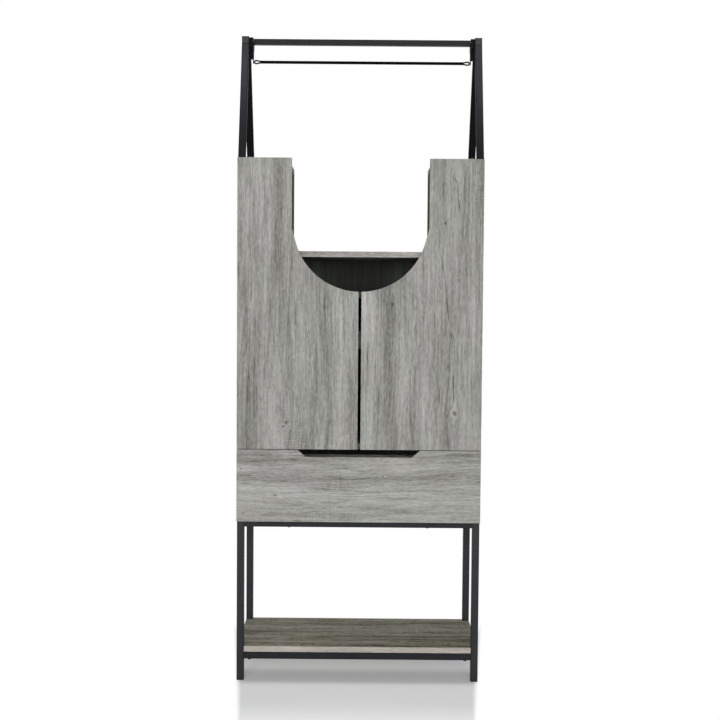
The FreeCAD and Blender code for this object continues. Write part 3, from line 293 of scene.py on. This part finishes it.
def oak(name, grain, seed, face, stops=OAK, cracks=(), knots=(), bands=(), specular=0.16, dull=0.0,
        edge_strip=PALE_BAND, edge_plain=None, lift=0.0, contrast=1.0):
    """Grey oak print with its grain along one axis.

    face is the axis that the board's broad face looks along. A crack is (points, half width, depth),
    where a point is (across, along). A knot is (across, along, half width, half height). A band is
    (across, half width, tone): a strip along the grain that is darker or paler. All are in metres,
    in the frame's own places. edge_strip multiplies the colour of the board's edges, and edge_plain
    is the plain colour that covers most of them."""
    g = Finish(name)
    across, thick, along = swapped(g.place(), grain)
    slow = g.noise(g.vector(g.times(across, WANDER_ACROSS), seed, g.times(along, WANDER_ALONG)), detail=2.0)
    u = g.add(across, g.times(g.math("SUBTRACT", slow, 0.5), WANDER))
    for k_across, k_along, k_wide, k_high in knots:
        du = g.math("SUBTRACT", across, k_across)
        dw = g.math("SUBTRACT", along, k_along)
        far = g.add(g.math("POWER", g.times(du, 1 / (KNOT_REACH_ACROSS * k_wide)), 2.0),
                    g.math("POWER", g.times(dw, 1 / (KNOT_REACH_ALONG * k_high)), 2.0))
        near = g.math("EXPONENT", g.times(far, -1.0))
        u = g.math("SUBTRACT", u, g.times(g.times(du, near), KNOT_PULL))

    def noise(layer):
        spot = g.vector(g.add(g.times(u, layer.across), seed + layer.offset),
                        g.times(thick, layer.across), g.times(along, layer.along))
        return g.noise(spot, detail=layer.detail, roughness=layer.roughness)

    def here(layer, low, high):
        return g.span(noise(layer), low, high)

    def part(value, weight):
        return g.times(g.math("SUBTRACT", value, 0.5), weight)

    grains = {key: noise(layer) for key, layer in GRAIN.items()}
    parts = [part(grains[key], layer.weight) for key, layer in GRAIN.items()]
    parts.append(g.times(part(noise(RAY), RAY.weight), here(*RAYS_HERE)))
    tone = g.add(g.times(g.add(*parts), contrast), MIDDLE_TONE + lift)
    for b_across, b_wide, b_tone in bands:
        near = g.span(g.math("ABSOLUTE", g.math("SUBTRACT", u, b_across)), 0.0, b_wide, 1.0, 0.0)
        tone = g.add(tone, g.times(near, b_tone))
    # Short dark dashes, long faint checks and fine pores
    dash = g.times(here(*DASHES), here(*DASHES_HERE))
    ridge = g.math("ABSOLUTE", g.math("SUBTRACT", noise(CHECK), 0.5))
    check = g.times(g.span(ridge, 0.0, CHECK_WIDTH, 1.0, 0.0), here(*CHECKS_HERE))
    pores = g.span(grains["fibre"], *PORES)
    dark = g.add(g.times(dash, DASH_DEPTH), g.times(check, CHECK_DEPTH), g.times(pores, PORE_DEPTH))
    for points, width, depth in cracks:
        low, high = min(w for _, w in points), max(w for _, w in points)
        left = min(c for c, _ in points) - CRACK_MARGIN
        right = max(c for c, _ in points) + CRACK_MARGIN
        share = g.span(along, low, high, smooth=False)
        line = g.curve(share, sorted(((w - low) / (high - low), (c - left) / (right - left))
                                     for c, w in points))
        centre = g.add(g.times(line, right - left), left, part(grains["streak"], CRACK_WANDER))
        off = g.math("ABSOLUTE", g.math("SUBTRACT", across, centre))
        taper = g.math("MULTIPLY", g.times(g.math("SUBTRACT", 1.0, share), share), CRACK_TAPER, clamp=True)
        rags = g.vector(seed + low, 0.0, g.times(along, CRACK_RAGS))
        ragged = g.span(g.noise(rags), *RAG_RANGE, RAG_LEAST, 1.0)
        body = g.span(off, 0.0, g.times(g.times(taper, ragged), width), 1.0, 0.0)
        halo = g.times(g.span(off, 0.0, width * HALO_WIDTH, 1.0, 0.0), taper)
        dark = g.add(dark, g.times(body, depth), g.times(halo, HALO_DEPTH))
    for k_across, k_along, k_wide, k_high in knots:
        du = g.times(g.math("SUBTRACT", across, k_across), 1 / k_wide)
        dw = g.times(g.math("SUBTRACT", along, k_along), 1 / k_high)
        rags = g.vector(g.times(across, KNOT_RAGS[0]), seed, g.times(along, KNOT_RAGS[1]))
        ragged = part(g.noise(rags), KNOT_RAG_SIZE)
        far = g.add(g.math("SQRT", g.add(g.math("POWER", du, 2.0), g.math("POWER", dw, 2.0))), ragged)
        dark = g.add(dark, g.times(g.span(far, *KNOT_FADE, 1.0, 0.0), KNOT_DEPTH))
    tone = g.math("SUBTRACT", tone, dark, clamp=True)
    colour = g.ramp(tone, stops)
    hue = g.noise(g.vector(g.times(across, HUE_ACROSS), seed + HUE_OFFSET, g.times(along, HUE_ALONG)),
                  detail=2.0)
    colour = g.mix(1.0, colour, g.mix(g.span(hue, *HUE_RANGE), GREEN, PINK), "MULTIPLY")
    # The glued edge strip is paler than the faces, and every corner is paler, partly from wear and partly as
    # a painted highlight
    normal = dict(zip("XYZ", g.place("Normal")))
    strip_here = g.span(g.math("ABSOLUTE", normal[face]), *NORMAL_SIDE, 1.0, 0.0)
    band_colour = g.mix(1.0, colour, edge_strip, "MULTIPLY")
    if edge_plain:
        band_colour = g.mix(EDGE_PLAIN_SHARE, band_colour, edge_plain)
    band_colour = g.mix(g.times(here(*SPECKS), BAND_SPECK_SHARE), band_colour, BAND_SPECK)
    colour = g.mix(strip_here, colour, band_colour)
    colour = g.mix(g.edges(WEAR_AND_HIGHLIGHT_WIDTH), colour, g.mix(1.0, colour, WEAR_AND_HIGHLIGHT, "MULTIPLY"))
    relief = g.add(g.times(grains["fibre"], FIBRE_HEIGHT), g.times(grains["fine"], FINE_HEIGHT),
                   g.times(dark, -DARK_HEIGHT))
    shape = g.bump(relief, BOARD_RELIEF, BOARD_RELIEF_SHARE, g.soft_edges(BOARD_ROUND))
    roughness = g.span(tone, *ROUGH_TONES, ROUGH_DARK + dull, ROUGH_PALE + dull, smooth=False)
    return g.finish(colour, roughness, shape, specular=specular)


# Steel, plastic, hardboard and beech

# Rounded corners, painted shade along the edges and relief of the powder coat in metres, and shares of its
# tone
COAT_ROUND, COAT_EDGE, COAT_RELIEF = 0.0022, 0.0034, 0.00016
COAT_PALE, COAT_EDGE_SHADE = 1.3, 0.12
PEEL_HEIGHT, GRIT_HEIGHT = 0.8, 0.3


def powder_coat(name, colour, roughness=0.42, specular=0.22, painted_shade_by_height=None, rounded_and_shaded_edges=True):
    """The height shade is (low, high, share): painted shade that leaves the coat that share of its tone at
    the low height. Edges, where asked for, are rounded and darkened by painted shade.
    """
    g = Finish(name)
    x, y, z = g.place()
    spot = g.vector(x, y, z)
    peel = g.noise(spot, scale=900.0, detail=2.0)
    grit = g.noise(spot, scale=3600.0, detail=1.0)
    cloud = g.noise(spot, scale=9.0)
    height = g.add(g.times(peel, PEEL_HEIGHT), g.times(grit, GRIT_HEIGHT))
    normal = g.bump(height, COAT_RELIEF, 0.35, g.soft_edges(COAT_ROUND) if rounded_and_shaded_edges else None)
    shade = g.mix(g.span(cloud, *CLOUD), colour, scaled(colour, COAT_PALE))
    # Painted shade: darker edges where the tube's faces turn from the light
    if rounded_and_shaded_edges:
        shade = g.mix(g.edges(COAT_EDGE), shade, scaled(colour, COAT_EDGE_SHADE))
    # Painted shade: darker towards the low height
    if painted_shade_by_height:
        low, high, share = painted_shade_by_height
        shade = g.level(shade, g.span(z, low, high, share, 1.0))
    rough = g.span(cloud, *CLOUD, roughness - 0.04, roughness + 0.06, smooth=False)
    return g.finish(shade, rough, normal, specular=specular)


PLASTIC_ROUND, PLASTIC_RELIEF, PLASTIC_PALE = 0.0006, 0.0001, 1.5


def plastic(name, colour, roughness=0.5):
    """Moulded plastic with a fine grain."""
    g = Finish(name)
    spot = g.vector(*g.place())
    grain = g.noise(spot, scale=2200.0, detail=2.0)
    cloud = g.noise(spot, scale=60.0, detail=2.0)
    rough = g.span(cloud, *CLOUD, roughness, roughness + 0.1, smooth=False)
    return g.finish(g.mix(cloud, colour, scaled(colour, PLASTIC_PALE)), rough,
                    g.bump(grain, PLASTIC_RELIEF, 0.4, g.soft_edges(PLASTIC_ROUND)), specular=0.4)


DRAWN_ACROSS, DRAWN_ALONG = 2600.0, 60.0
STAIN_ACROSS, STAIN_ALONG, STAIN_SHARE, STAIN_RANGE = 70.0, 40.0, 0.72, (0.35, 0.7)
PLATED_ROUND, PLATED_RELIEF = 0.0005, 0.00005


def plated(name, colour, roughness, run):
    """Bright plated steel with drawing lines that run along one axis."""
    g = Finish(name)
    across, thick, along = swapped(g.place(), run)
    lines = g.noise(g.vector(g.times(across, DRAWN_ACROSS), g.times(thick, DRAWN_ACROSS),
                             g.times(along, DRAWN_ALONG)), roughness=0.6)
    cloud = g.noise(g.vector(g.times(across, STAIN_ACROSS), g.times(thick, STAIN_ACROSS),
                             g.times(along, STAIN_ALONG)))
    shade = g.mix(g.span(cloud, *STAIN_RANGE), colour, scaled(colour, STAIN_SHARE))
    rough = g.add(g.times(g.math("SUBTRACT", lines, 0.5), 0.16),
                  g.span(cloud, *CLOUD, roughness, roughness + 0.08))
    return g.finish(shade, rough, g.bump(lines, PLATED_RELIEF, 0.4, g.soft_edges(PLATED_ROUND)),
                    metallic=1.0)


BACK_INSIDE = ((0.3, paint(33, 36, 32)), (0.55, paint(49, 52, 47)), (0.75, paint(62, 65, 58)))
BACK_OUTSIDE = ((0.3, paint(104, 92, 76)), (0.5, paint(140, 126, 106)), (0.7, paint(170, 155, 133)))
# The inside is darker in the middle of the cabinet than at its sides by painted shade (metres from the
# middle)
BACK_MIDDLE, BACK_SIDE, BACK_PAINTED_SHADE = 0.01, 0.15, (0.42, 1.9)
BACK_RELIEF, MESH_TURNS = 0.0003, 1900.0


def hardboard(name):
    """Dark back board: a faint printed grain inside, darkened in the middle by painted shade, and a pressed
    mesh on its rear face.
    """
    g = Finish(name)
    x, y, z = g.place()
    print_grain = g.noise(g.vector(g.times(x, 42.0), y, g.times(z, 2.0)), detail=4.0, roughness=0.6)
    fibres = g.noise(g.vector(x, y, z), scale=700.0, detail=4.0, roughness=0.7)
    # Painted shade: darker in the middle of the cabinet, paler towards its sides
    painted_shade_across = g.span(g.math("ABSOLUTE", x), BACK_MIDDLE, BACK_SIDE, *BACK_PAINTED_SHADE)
    inside = g.level(g.ramp(print_grain, BACK_INSIDE), painted_shade_across)
    outside = g.ramp(fibres, BACK_OUTSIDE)
    rear = g.span(g.place("Normal")[1], *NORMAL_SIDE)
    mesh = g.add(g.math("SINE", g.times(x, MESH_TURNS)), g.math("SINE", g.times(z, MESH_TURNS)))
    smooth_side = g.times(g.math("SUBTRACT", 1.0, rear), g.times(print_grain, 0.5))
    height = g.add(smooth_side, g.times(rear, g.add(g.times(mesh, 0.2), g.times(fibres, 0.6))))
    return g.finish(g.mix(rear, inside, outside), g.span(rear, 0.0, 1.0, 0.55, 0.8),
                    g.bump(height, BACK_RELIEF, 0.5), specular=0.12)


BEECH = ((0.3, paint(176, 138, 96)), (0.55, paint(206, 170, 124)), (0.75, paint(222, 190, 148)))
BEECH_ACROSS, BEECH_ALONG = 900.0, 30.0
BEECH_RELIEF, FLUTE_HEIGHT, FLUTE_TURNS = 0.0003, 0.4, 5200.0


def beech(name):
    """Fluted dowels with their grain along Z."""
    g = Finish(name)
    x, y, z = g.place()
    grain = g.noise(g.vector(g.times(x, BEECH_ACROSS), g.times(y, BEECH_ACROSS), g.times(z, BEECH_ALONG)))
    flute = g.math("SINE", g.times(g.add(x, y), FLUTE_TURNS))
    return g.finish(g.ramp(grain, BEECH), 0.65,
                    g.bump(g.add(grain, g.times(flute, FLUTE_HEIGHT)), BEECH_RELIEF, 0.5), specular=0.25)


# Cracks and knots of the front boards, as oak() reads them

CRACKS_RIGHT = (
    (((0.2445, 1.362), (0.2486, 1.3469), (0.2536, 1.3309), (0.2551, 1.3117), (0.2582, 1.2813),
      (0.2642, 1.254)), 0.0021, 0.46),
    (((0.209, 1.160), (0.218, 1.112), (0.2275, 1.0547), (0.2315, 1.0144), (0.2352, 0.9659)), 0.0020, 0.38),
    (((0.2400, 0.950), (0.2424, 0.9335), (0.2463, 0.885)), 0.0017, 0.36),
    (((0.2471, 0.834), (0.2486, 0.8118), (0.2511, 0.755)), 0.0021, 0.48),
    (((0.0192, 0.926), (0.0214, 0.8804), (0.0218, 0.826)), 0.0016, 0.36),
    (((0.0498, 0.822), (0.0506, 0.7831), (0.0516, 0.730)), 0.0014, 0.30),
    (((0.1128, 0.735), (0.1126, 0.6695), (0.1103, 0.627)), 0.0012, 0.24),
    (((0.2174, 1.342), (0.2172, 1.310), (0.2179, 1.286)), 0.0022, 0.20),
    (((0.2215, 1.402), (0.2217, 1.372)), 0.0018, 0.28),
    (((0.2440, 0.750), (0.2366, 0.7262), (0.2318, 0.714)), 0.0016, 0.34),
)
KNOTS_RIGHT = ((0.2529, 0.7277, 0.0066, 0.0076), (0.304, 1.2945, 0.0026, 0.0042),
               (0.2234, 1.2312, 0.0028, 0.0045), (0.0858, 1.0159, 0.003, 0.007))
CRACKS_LEFT = (
    (((-0.2360, 1.058), (-0.2355, 1.000), (-0.2290, 0.930), (-0.2275, 0.870)), 0.0013, 0.20),
    (((-0.2912, 0.960), (-0.2915, 0.880)), 0.0011, 0.20),
    (((-0.2945, 0.830), (-0.2960, 0.745)), 0.0014, 0.26),
    (((-0.1680, 1.035), (-0.1695, 0.955)), 0.0014, 0.24),
    (((-0.1550, 1.058), (-0.1548, 1.005)), 0.0012, 0.20),
    (((-0.1400, 0.945), (-0.1290, 0.870)), 0.0016, 0.22),
    (((-0.0920, 1.058), (-0.0925, 0.960), (-0.0915, 0.850)), 0.0020, 0.22),
    (((-0.2715, 0.800), (-0.2700, 0.720)), 0.0012, 0.20),
    (((-0.1120, 0.700), (-0.1060, 0.631)), 0.0013, 0.26),
    (((-0.0600, 0.990), (-0.0570, 0.890)), 0.0013, 0.20),
    (((-0.2091, 1.270), (-0.2090, 1.238)), 0.0015, 0.24),
)
KNOTS_LEFT = ((-0.1935, 0.699, 0.0042, 0.0065), (-0.201, 0.690, 0.004, 0.003))
CRACKS_DRAWER = (
    (((0.5266, -0.116), (0.5224, -0.0828), (0.5209, -0.0497), (0.5200, -0.0232), (0.5164, 0.0033),
      (0.5170, 0.070)), 0.0014, 0.30),
    (((0.5931, -0.320), (0.5948, -0.2707), (0.5951, -0.228)), 0.0017, 0.34),
    (((0.5780, -0.045), (0.5749, -0.0200), (0.5670, 0.040)), 0.0011, 0.20),
    (((0.4867, -0.100), (0.4893, -0.0495), (0.4969, -0.012)), 0.0013, 0.24),
    (((0.4980, 0.010), (0.5000, 0.110), (0.4990, 0.150)), 0.0011, 0.20),
    (((0.4700, 0.000), (0.4690, 0.130)), 0.0012, 0.22),
    (((0.4750, 0.150), (0.4760, 0.290)), 0.0012, 0.20),
    (((0.5620, 0.180), (0.5650, 0.260), (0.5660, 0.310)), 0.0012, 0.20),
    (((0.4560, -0.060), (0.4555, 0.010)), 0.0012, 0.20),
)
KNOTS_DRAWER = ((0.576, -0.3137, 0.0022, 0.005), (0.5057, -0.2218, 0.002, 0.006),
                (0.4572, -0.3056, 0.0022, 0.007), (0.5570, 0.0650, 0.002, 0.004))

oak_left_door = oak("oak_left_door", "Z", 3.7, "Y", cracks=CRACKS_LEFT, knots=KNOTS_LEFT,
                    bands=((-0.290, 0.03, -0.03), (-0.035, 0.045, 0.08), (-0.095, 0.02, -0.06),
                           (-0.235, 0.012, -0.04)))
oak_right_door = oak("oak_right_door", "Z", 19.2, "Y", cracks=CRACKS_RIGHT, knots=KNOTS_RIGHT,
                     bands=((0.070, 0.035, -0.05), (0.160, 0.04, 0.05), (0.300, 0.02, 0.03),
                            (0.020, 0.014, 0.02), (0.240, 0.016, -0.05)))
oak_drawer = oak("oak_drawer", "X", 8.4, "Y", cracks=CRACKS_DRAWER, knots=KNOTS_DRAWER,
                 bands=((0.500, 0.06, 0.14), (0.610, 0.03, -0.05), (0.452, 0.03, 0.08)), lift=0.06)
oak_shelf = oak("oak_shelf", "X", 27.5, "Z", edge_strip=PAINTED_SHADE_BAND)
oak_low_shelf = oak("oak_low_shelf", "X", 33.1, "Z", stops=SHELF_OAK, specular=0.07, dull=0.12,
                    edge_plain=SHELF_FRONT, contrast=1.6)
oak_deck = oak("oak_deck", "X", 14.6, "Z")
oak_upright = oak("oak_upright", "Z", 45.3, "X", specular=0.04, dull=0.14)
oak_partition = oak("oak_partition", "Z", 62.4, "X", stops=INNER_OAK_PAINTED_SHADE, specular=0.0, dull=0.14)
oak_drawer_side = oak("oak_drawer_side", "Y", 52.8, "X")
oak_drawer_back = oak("oak_drawer_back", "X", 58.2, "Y")
black_steel = powder_coat("black_steel", (0.0175, 0.0175, 0.0205, 1.0))
# The front struts are paler than black_steel, a painted light for the sheen their upturned faces catch, and
# darker towards the foot by painted shade. The rear struts are darker by painted shade.
strut_steel = powder_coat("strut_steel", (0.0440, 0.0440, 0.0510, 1.0), roughness=0.6, specular=0.05,
                          painted_shade_by_height=(1.40, 1.66, 0.30))
rear_strut_steel = powder_coat("rear_strut_steel", (0.0060, 0.0060, 0.0068, 1.0), roughness=0.6,
                               specular=0.04)
rail_steel = powder_coat("rail_steel", (0.0095, 0.0105, 0.0130, 1.0), specular=0.18)
crossbar_steel = powder_coat("crossbar_steel", (0.0120, 0.0120, 0.0135, 1.0), specular=0.14)
bracket_steel = powder_coat("bracket_steel", (0.0060, 0.0060, 0.0070, 1.0), roughness=0.55,
                            specular=0.06)
black_wire = powder_coat("black_wire", (0.0030, 0.0030, 0.0034, 1.0), roughness=0.6, specular=0.02,
                         rounded_and_shaded_edges=False)
black_plastic = plastic("black_plastic", (0.012, 0.012, 0.013, 1.0))
catch_plastic = plastic("catch_plastic", (0.007, 0.007, 0.0075, 1.0), 0.42)
black_zinc = plated("black_zinc", (0.07, 0.07, 0.075, 1.0), 0.38, "Z")
nickel = plated("nickel", (0.58, 0.57, 0.54, 1.0), 0.26, "Z")
zinc_long = plated("zinc_long", (0.56, 0.57, 0.60, 1.0), 0.30, "Y")
zinc_small = plated("zinc_small", (0.60, 0.60, 0.60, 1.0), 0.28, "Z")
back_board = hardboard("back_board")
dowel_beech = beech("dowel_beech")

# The nodes that each material covers

MATERIALS = {
    oak_left_door: ("left_door",),
    oak_right_door: ("right_door",),
    oak_drawer: ("drawer_front",),
    oak_shelf: ("base_board", "cupboard_floor", "middle_shelf", "upper_shelf", "tower_tops",
                "drawer_bottom"),
    oak_low_shelf: ("lower_shelf",),
    oak_deck: ("display_deck",),
    oak_upright: ("side_panel_left", "side_panel_right"),
    oak_partition: ("partition_left", "partition_right"),
    oak_drawer_side: ("drawer_side_left", "drawer_side_right"),
    oak_drawer_back: ("drawer_back",),
    back_board: ("back_panels",),
    dowel_beech: ("dowels",),
    black_steel: ("base_leg_front_left", "base_leg_front_right", "base_leg_rear_left", "base_leg_rear_right",
                  "lower_rail_rear", "top_rail_rear", "lower_side_rails", "top_side_rails",
                  "strut_base_plates", "apex_blocks"),
    rail_steel: ("lower_rail_front", "top_rail_front"),
    strut_steel: ("strut_front_left", "strut_front_right"),
    rear_strut_steel: ("strut_rear_left", "strut_rear_right"),
    crossbar_steel: ("crossbar",),
    bracket_steel: ("crossbar_brackets",),
    black_wire: ("wire_rail",),
    black_plastic: ("foot_caps", "apex_end_plugs"),
    catch_plastic: ("magnet_catch",),
    black_zinc: ("base_screws", "strut_screws", "bracket_bolts"),
    nickel: ("left_hinge_cups", "right_hinge_cups", "hinge_arms", "hinge_plates"),
    zinc_long: ("slide_rails_fixed", "slide_rails_moving", "ball_cages"),
    zinc_small: ("hinge_screws", "left_strike_plate", "right_strike_plate", "shelf_pins", "cam_locks",
                 "cam_bolts", "back_nails", "drawer_fixings"),
}
for material, names in MATERIALS.items():
    for name in names:
        slots = nodes[name].material_slots
        if not slots:
            nodes[name].data.materials.append(material)
        for slot in slots:
            slot.material = material
bare = sorted(set(nodes) - {name for names in MATERIALS.values() for name in names})
if bare:
    raise RuntimeError(f"no material for {bare}")

# Fasteners with real heads, each in the place of its plain solid

# Vertices this close, in metres, are one
WELD = 0.00001
CROSS = ((1, 3), (1, 1), (3, 1), (3, -1), (1, -1), (1, -3), (-1, -3), (-1, -1), (-3, -1), (-3, 1),
         (-1, 1), (-1, 3))


def unit_circle(count):
    """Evenly spread points on a circle of radius 1."""
    return tuple((math.cos(math.tau * k / count), math.sin(math.tau * k / count)) for k in range(count))


HEXAGON, ROUND = unit_circle(6), unit_circle(24)
# The tip in shares of the shank's radius, the rim in shares of the head's radius and height, and the
# recess's floor as a share of its mouth
TIP_RADIUS, TIP_LENGTH = 0.35, 1.3
RIM = ((1.0, 0.0), (1.0, 0.45), (0.93, 0.78), (0.72, 1.0))
RECESS_FLOOR = 0.72
# Each head is turned by this many radians for each vertex made before it
SPIN = 1.7


def solid_boxes(name):
    """The lowest and highest corner of each separate solid of a node."""
    work = bmesh.new()
    work.from_mesh(nodes[name].data)
    bmesh.ops.remove_doubles(work, verts=work.verts, dist=WELD)
    left, boxes = set(work.verts), []
    while left:
        todo, found = [left.pop()], []
        while todo:
            vert = todo.pop()
            found.append(vert.co.copy())
            for edge in vert.link_edges:
                other = edge.other_vert(vert)
                if other in left:
                    left.remove(other)
                    todo.append(other)
        boxes.append(tuple(Vector([pick(co[i] for co in found) for i in range(3)]) for pick in (min, max)))
    work.free()
    return sorted(boxes, key=lambda box: tuple(round(c, 4) for c in box[0]))


def fastener(bm, place, head, shank, recess, spread, depth):
    """A screw or bolt at place, its head along +Z there. head and shank are (radius, length).

    The recess is an outline scaled by spread and sunk by depth."""
    radius, tall = head
    shank_radius, shank_length = shank

    def ring(outline, z, size):
        return [bm.verts.new(place @ Vector((size * x, size * y, z))) for x, y in outline]

    def join(low, high):
        for k in range(len(low)):
            bm.faces.new((low[k - 1], low[k], high[k], high[k - 1]))

    def fill(*rings):
        edges = [bm.edges.get((loop[k - 1], loop[k])) or bm.edges.new((loop[k - 1], loop[k]))
                 for loop in rings for k in range(len(loop))]
        bmesh.ops.triangle_fill(bm, use_beauty=True, edges=edges)

    profile = [(TIP_RADIUS * shank_radius, -shank_length),
               (shank_radius, TIP_LENGTH * shank_radius - shank_length), (shank_radius, 0.0)]
    profile += [(wide * radius, high * tall) for wide, high in RIM]
    rings = [ring(ROUND, z, size) for size, z in profile]
    for low, high in zip(rings, rings[1:]):
        join(low, high)
    fill(rings[0])
    mouth = ring(recess, tall, spread)
    floor_ring = ring(recess, tall - depth, RECESS_FLOOR * spread)
    fill(rings[-1], mouth)
    join(mouth, floor_ring)
    fill(floor_ring)


def fasteners(name, node, slot, axis, facing, head_tall, shank_radius, **drive):
    """Rebuilds a node's screws or bolts with facing 1 or -1 along the axis, or "in" towards X = 0.

    head_tall is the height of the lowest head. A longer solid has that much more head. drive is the
    recess in it, as fastener() reads it."""
    bm = bmesh.new()
    boxes = solid_boxes(node)
    shank = min(high[axis] - low[axis] for low, high in boxes) - head_tall
    for low, high in boxes:
        middle, size = (low + high) / 2, high - low
        tall = size[axis] - shank
        way = facing if facing in (1, -1) else (-1 if middle.x > 0 else 1)
        radius = max(size[i] for i in range(3) if i != axis) / 2
        seat = middle.copy()
        seat[axis] = (high if way > 0 else low)[axis] - way * tall
        direction = Vector([way if i == axis else 0.0 for i in range(3)])
        turn = direction.to_track_quat("Z", "Y").to_matrix().to_4x4()
        spin = Matrix.Rotation(SPIN * len(bm.verts), 4, "Z")
        fastener(bm, Matrix.Translation(seat) @ turn @ spin, (radius, tall),
                 (shank_radius, shank), **drive)
    bmesh.ops.recalc_face_normals(bm, faces=bm.faces)
    mesh = bpy.data.meshes.new(name)
    bm.to_mesh(mesh)
    bm.free()
    item = bpy.data.objects.new(name, mesh)
    scene.collection.objects.link(item)
    mesh.materials.append(nodes[node].material_slots[0].material)
    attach(item, "cabinet")
    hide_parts(node)


SCREW = {"head_tall": 0.0024, "shank_radius": 0.0019, "recess": CROSS, "spread": 0.00075, "depth": 0.0014}
BOLT = {"head_tall": 0.003, "shank_radius": 0.0024, "recess": HEXAGON, "spread": 0.0023, "depth": 0.0018}
fasteners("base_screw_heads", "base_screws", "black_screws", axis=2, facing=-1, **SCREW)
fasteners("strut_screw_heads", "strut_screws", "black_screws", axis=2, facing=1, **SCREW)
fasteners("bracket_bolt_heads", "bracket_bolts", "black_screws", axis=0, facing="in", **BOLT)

# Floor and world: white to the camera, with the cabinet's soft shadow kept and lightened band by band by
# painted light

FLOOR_HALF = 9.0
FLOOR_GREY, FLOOR_GRAIN = 0.55, 0.01

# Painted light: a glow for the camera added to the floor's shadow, band by band ahead of the cabinet's
# middle, which shapes the shadow, and the metres ahead between which each band gives way to the next
DEEP_PAINTED_LIGHT, UNDER_PAINTED_LIGHT, NEAR_PAINTED_LIGHT, FAR_PAINTED_LIGHT = 0.33, 0.19, 0.38, 0.28
UNDER_FADE, NEAR_FADE, FAR_FADE = (0.0, 0.085), (0.135, 0.185), (0.20, 0.37)
# Metres from the middle between which the floor turns white. The sides close in by the narrowing,
# in metres for each metre ahead
SIDE_FADE, FRONT_FADE, REAR_FADE = (0.327, 0.347), (0.22, 0.75), (0.20, 0.48)
NARROWING = 0.113


def floor_material():
    """A grey floor that takes the shadow, lightened band by band by painted light, and that the camera sees
    white further out.
    """
    g = Finish("studio_floor")
    x, y, z = g.place()
    ahead = g.times(y, -1.0)
    grain = g.noise(g.vector(x, y, z), scale=30.0)
    tone = g.span(grain, *CLOUD, FLOOR_GREY - FLOOR_GRAIN, FLOOR_GREY + FLOOR_GRAIN, smooth=False)
    g.finish(g.vector(tone, tone, tone), 0.9, specular=0.0)
    seen = g.seen()
    aside = g.add(g.math("ABSOLUTE", x), g.times(ahead, NARROWING))
    clear = g.math("MAXIMUM", g.span(aside, *SIDE_FADE),
                   g.math("MAXIMUM", g.span(ahead, *FRONT_FADE), g.span(y, *REAR_FADE)))
    # Painted light on the floor, band by band
    level = g.add(g.span(ahead, *UNDER_FADE, DEEP_PAINTED_LIGHT, UNDER_PAINTED_LIGHT),
                  g.span(ahead, *NEAR_FADE, 0.0, NEAR_PAINTED_LIGHT - UNDER_PAINTED_LIGHT),
                  g.span(ahead, *FAR_FADE, 0.0, FAR_PAINTED_LIGHT - NEAR_PAINTED_LIGHT))
    lift = g.node("ShaderNodeEmission")
    g.put(g.times(seen, level), lift.inputs["Strength"])
    near = g.merge("ShaderNodeAddShader", g.shader.outputs[0], lift.outputs[0])
    white = g.node("ShaderNodeEmission")
    whole = g.merge("ShaderNodeMixShader", g.times(seen, clear), near, white.outputs[0])
    g.put(whole, g.output.inputs["Surface"])
    return g.block


floor_mesh = bpy.data.meshes.new("studio_floor")
floor_mesh.from_pydata([(-FLOOR_HALF, -FLOOR_HALF, 0), (FLOOR_HALF, -FLOOR_HALF, 0),
                        (FLOOR_HALF, FLOOR_HALF, 0), (-FLOOR_HALF, FLOOR_HALF, 0)], [], [(0, 1, 2, 3)])
floor = bpy.data.objects.new("studio_floor", floor_mesh)
scene.collection.objects.link(floor)
floor_mesh.materials.append(floor_material())

AMBIENT_COLOUR, AMBIENT_STRENGTH = (0.94, 0.97, 1.0, 1.0), 0.21
scene.world = bpy.data.worlds.new("studio")
studio = Graph(scene.world)
studio.tree.nodes.clear()
ambient, shown = [studio.node("ShaderNodeBackground") for _ in range(2)]
ambient.inputs["Color"].default_value = AMBIENT_COLOUR
ambient.inputs["Strength"].default_value = AMBIENT_STRENGTH
shown.inputs["Color"].default_value = WHITE
end = studio.node("ShaderNodeOutputWorld")
studio.put(studio.merge("ShaderNodeMixShader", studio.seen(), ambient.outputs[0], shown.outputs[0]),
           end.inputs["Surface"])


def lamp(name, place, target, size, watts):
    """A white rectangular lamp that looks at the target."""
    data = bpy.data.lights.new(name, "AREA")
    data.shape = "RECTANGLE"
    data.size, data.size_y = size
    data.energy = watts
    item = bpy.data.objects.new(name, data)
    scene.collection.objects.link(item)
    item.location = place
    item.rotation_euler = (Vector(target) - Vector(place)).to_track_quat("-Z", "Y").to_euler()


lamp("front", (0.0, -4.0, 1.5), (0.0, 0.0, 0.95), (2.6, 0.9), 60.0)
lamp("left", (-1.15, -3.6, 1.0), (0.0, 0.0, 0.85), (0.8, 1.0), 22.0)
lamp("right", (1.2, -3.6, 1.0), (0.0, 0.0, 0.85), (0.8, 1.0), 19.0)
lamp("above", (0.0, 0.1, 4.2), (0.0, 0.1, 0.0), (1.0, 0.6), 26.0)

# Camera, found by fitting the photographed edges: pixels, metres and radians

IMAGE_PIXELS, FOCAL_PIXELS = 720, 1230.56
EYE = Vector((0.0032, -3.41444, 1.02535))
PITCH, YAW, ROLL = 0.04836, -0.00057, 0.00797
forward = Vector((math.sin(YAW) * math.cos(PITCH), math.cos(YAW) * math.cos(PITCH), -math.sin(PITCH)))
level = Vector((math.cos(YAW), -math.sin(YAW), 0.0))
upright = level.cross(forward)
right = math.cos(ROLL) * level + math.sin(ROLL) * upright
up = math.cos(ROLL) * upright - math.sin(ROLL) * level
camera_data = bpy.data.cameras.new("camera")
camera_data.sensor_fit = "HORIZONTAL"
camera_data.sensor_width = 36.0
camera_data.lens = FOCAL_PIXELS * camera_data.sensor_width / IMAGE_PIXELS
camera_data.clip_end = 100.0
camera = bpy.data.objects.new("camera", camera_data)
scene.collection.objects.link(camera)
camera.matrix_world = Matrix.Translation(EYE) @ Matrix((right, up, -forward)).transposed().to_4x4()
scene.camera = camera
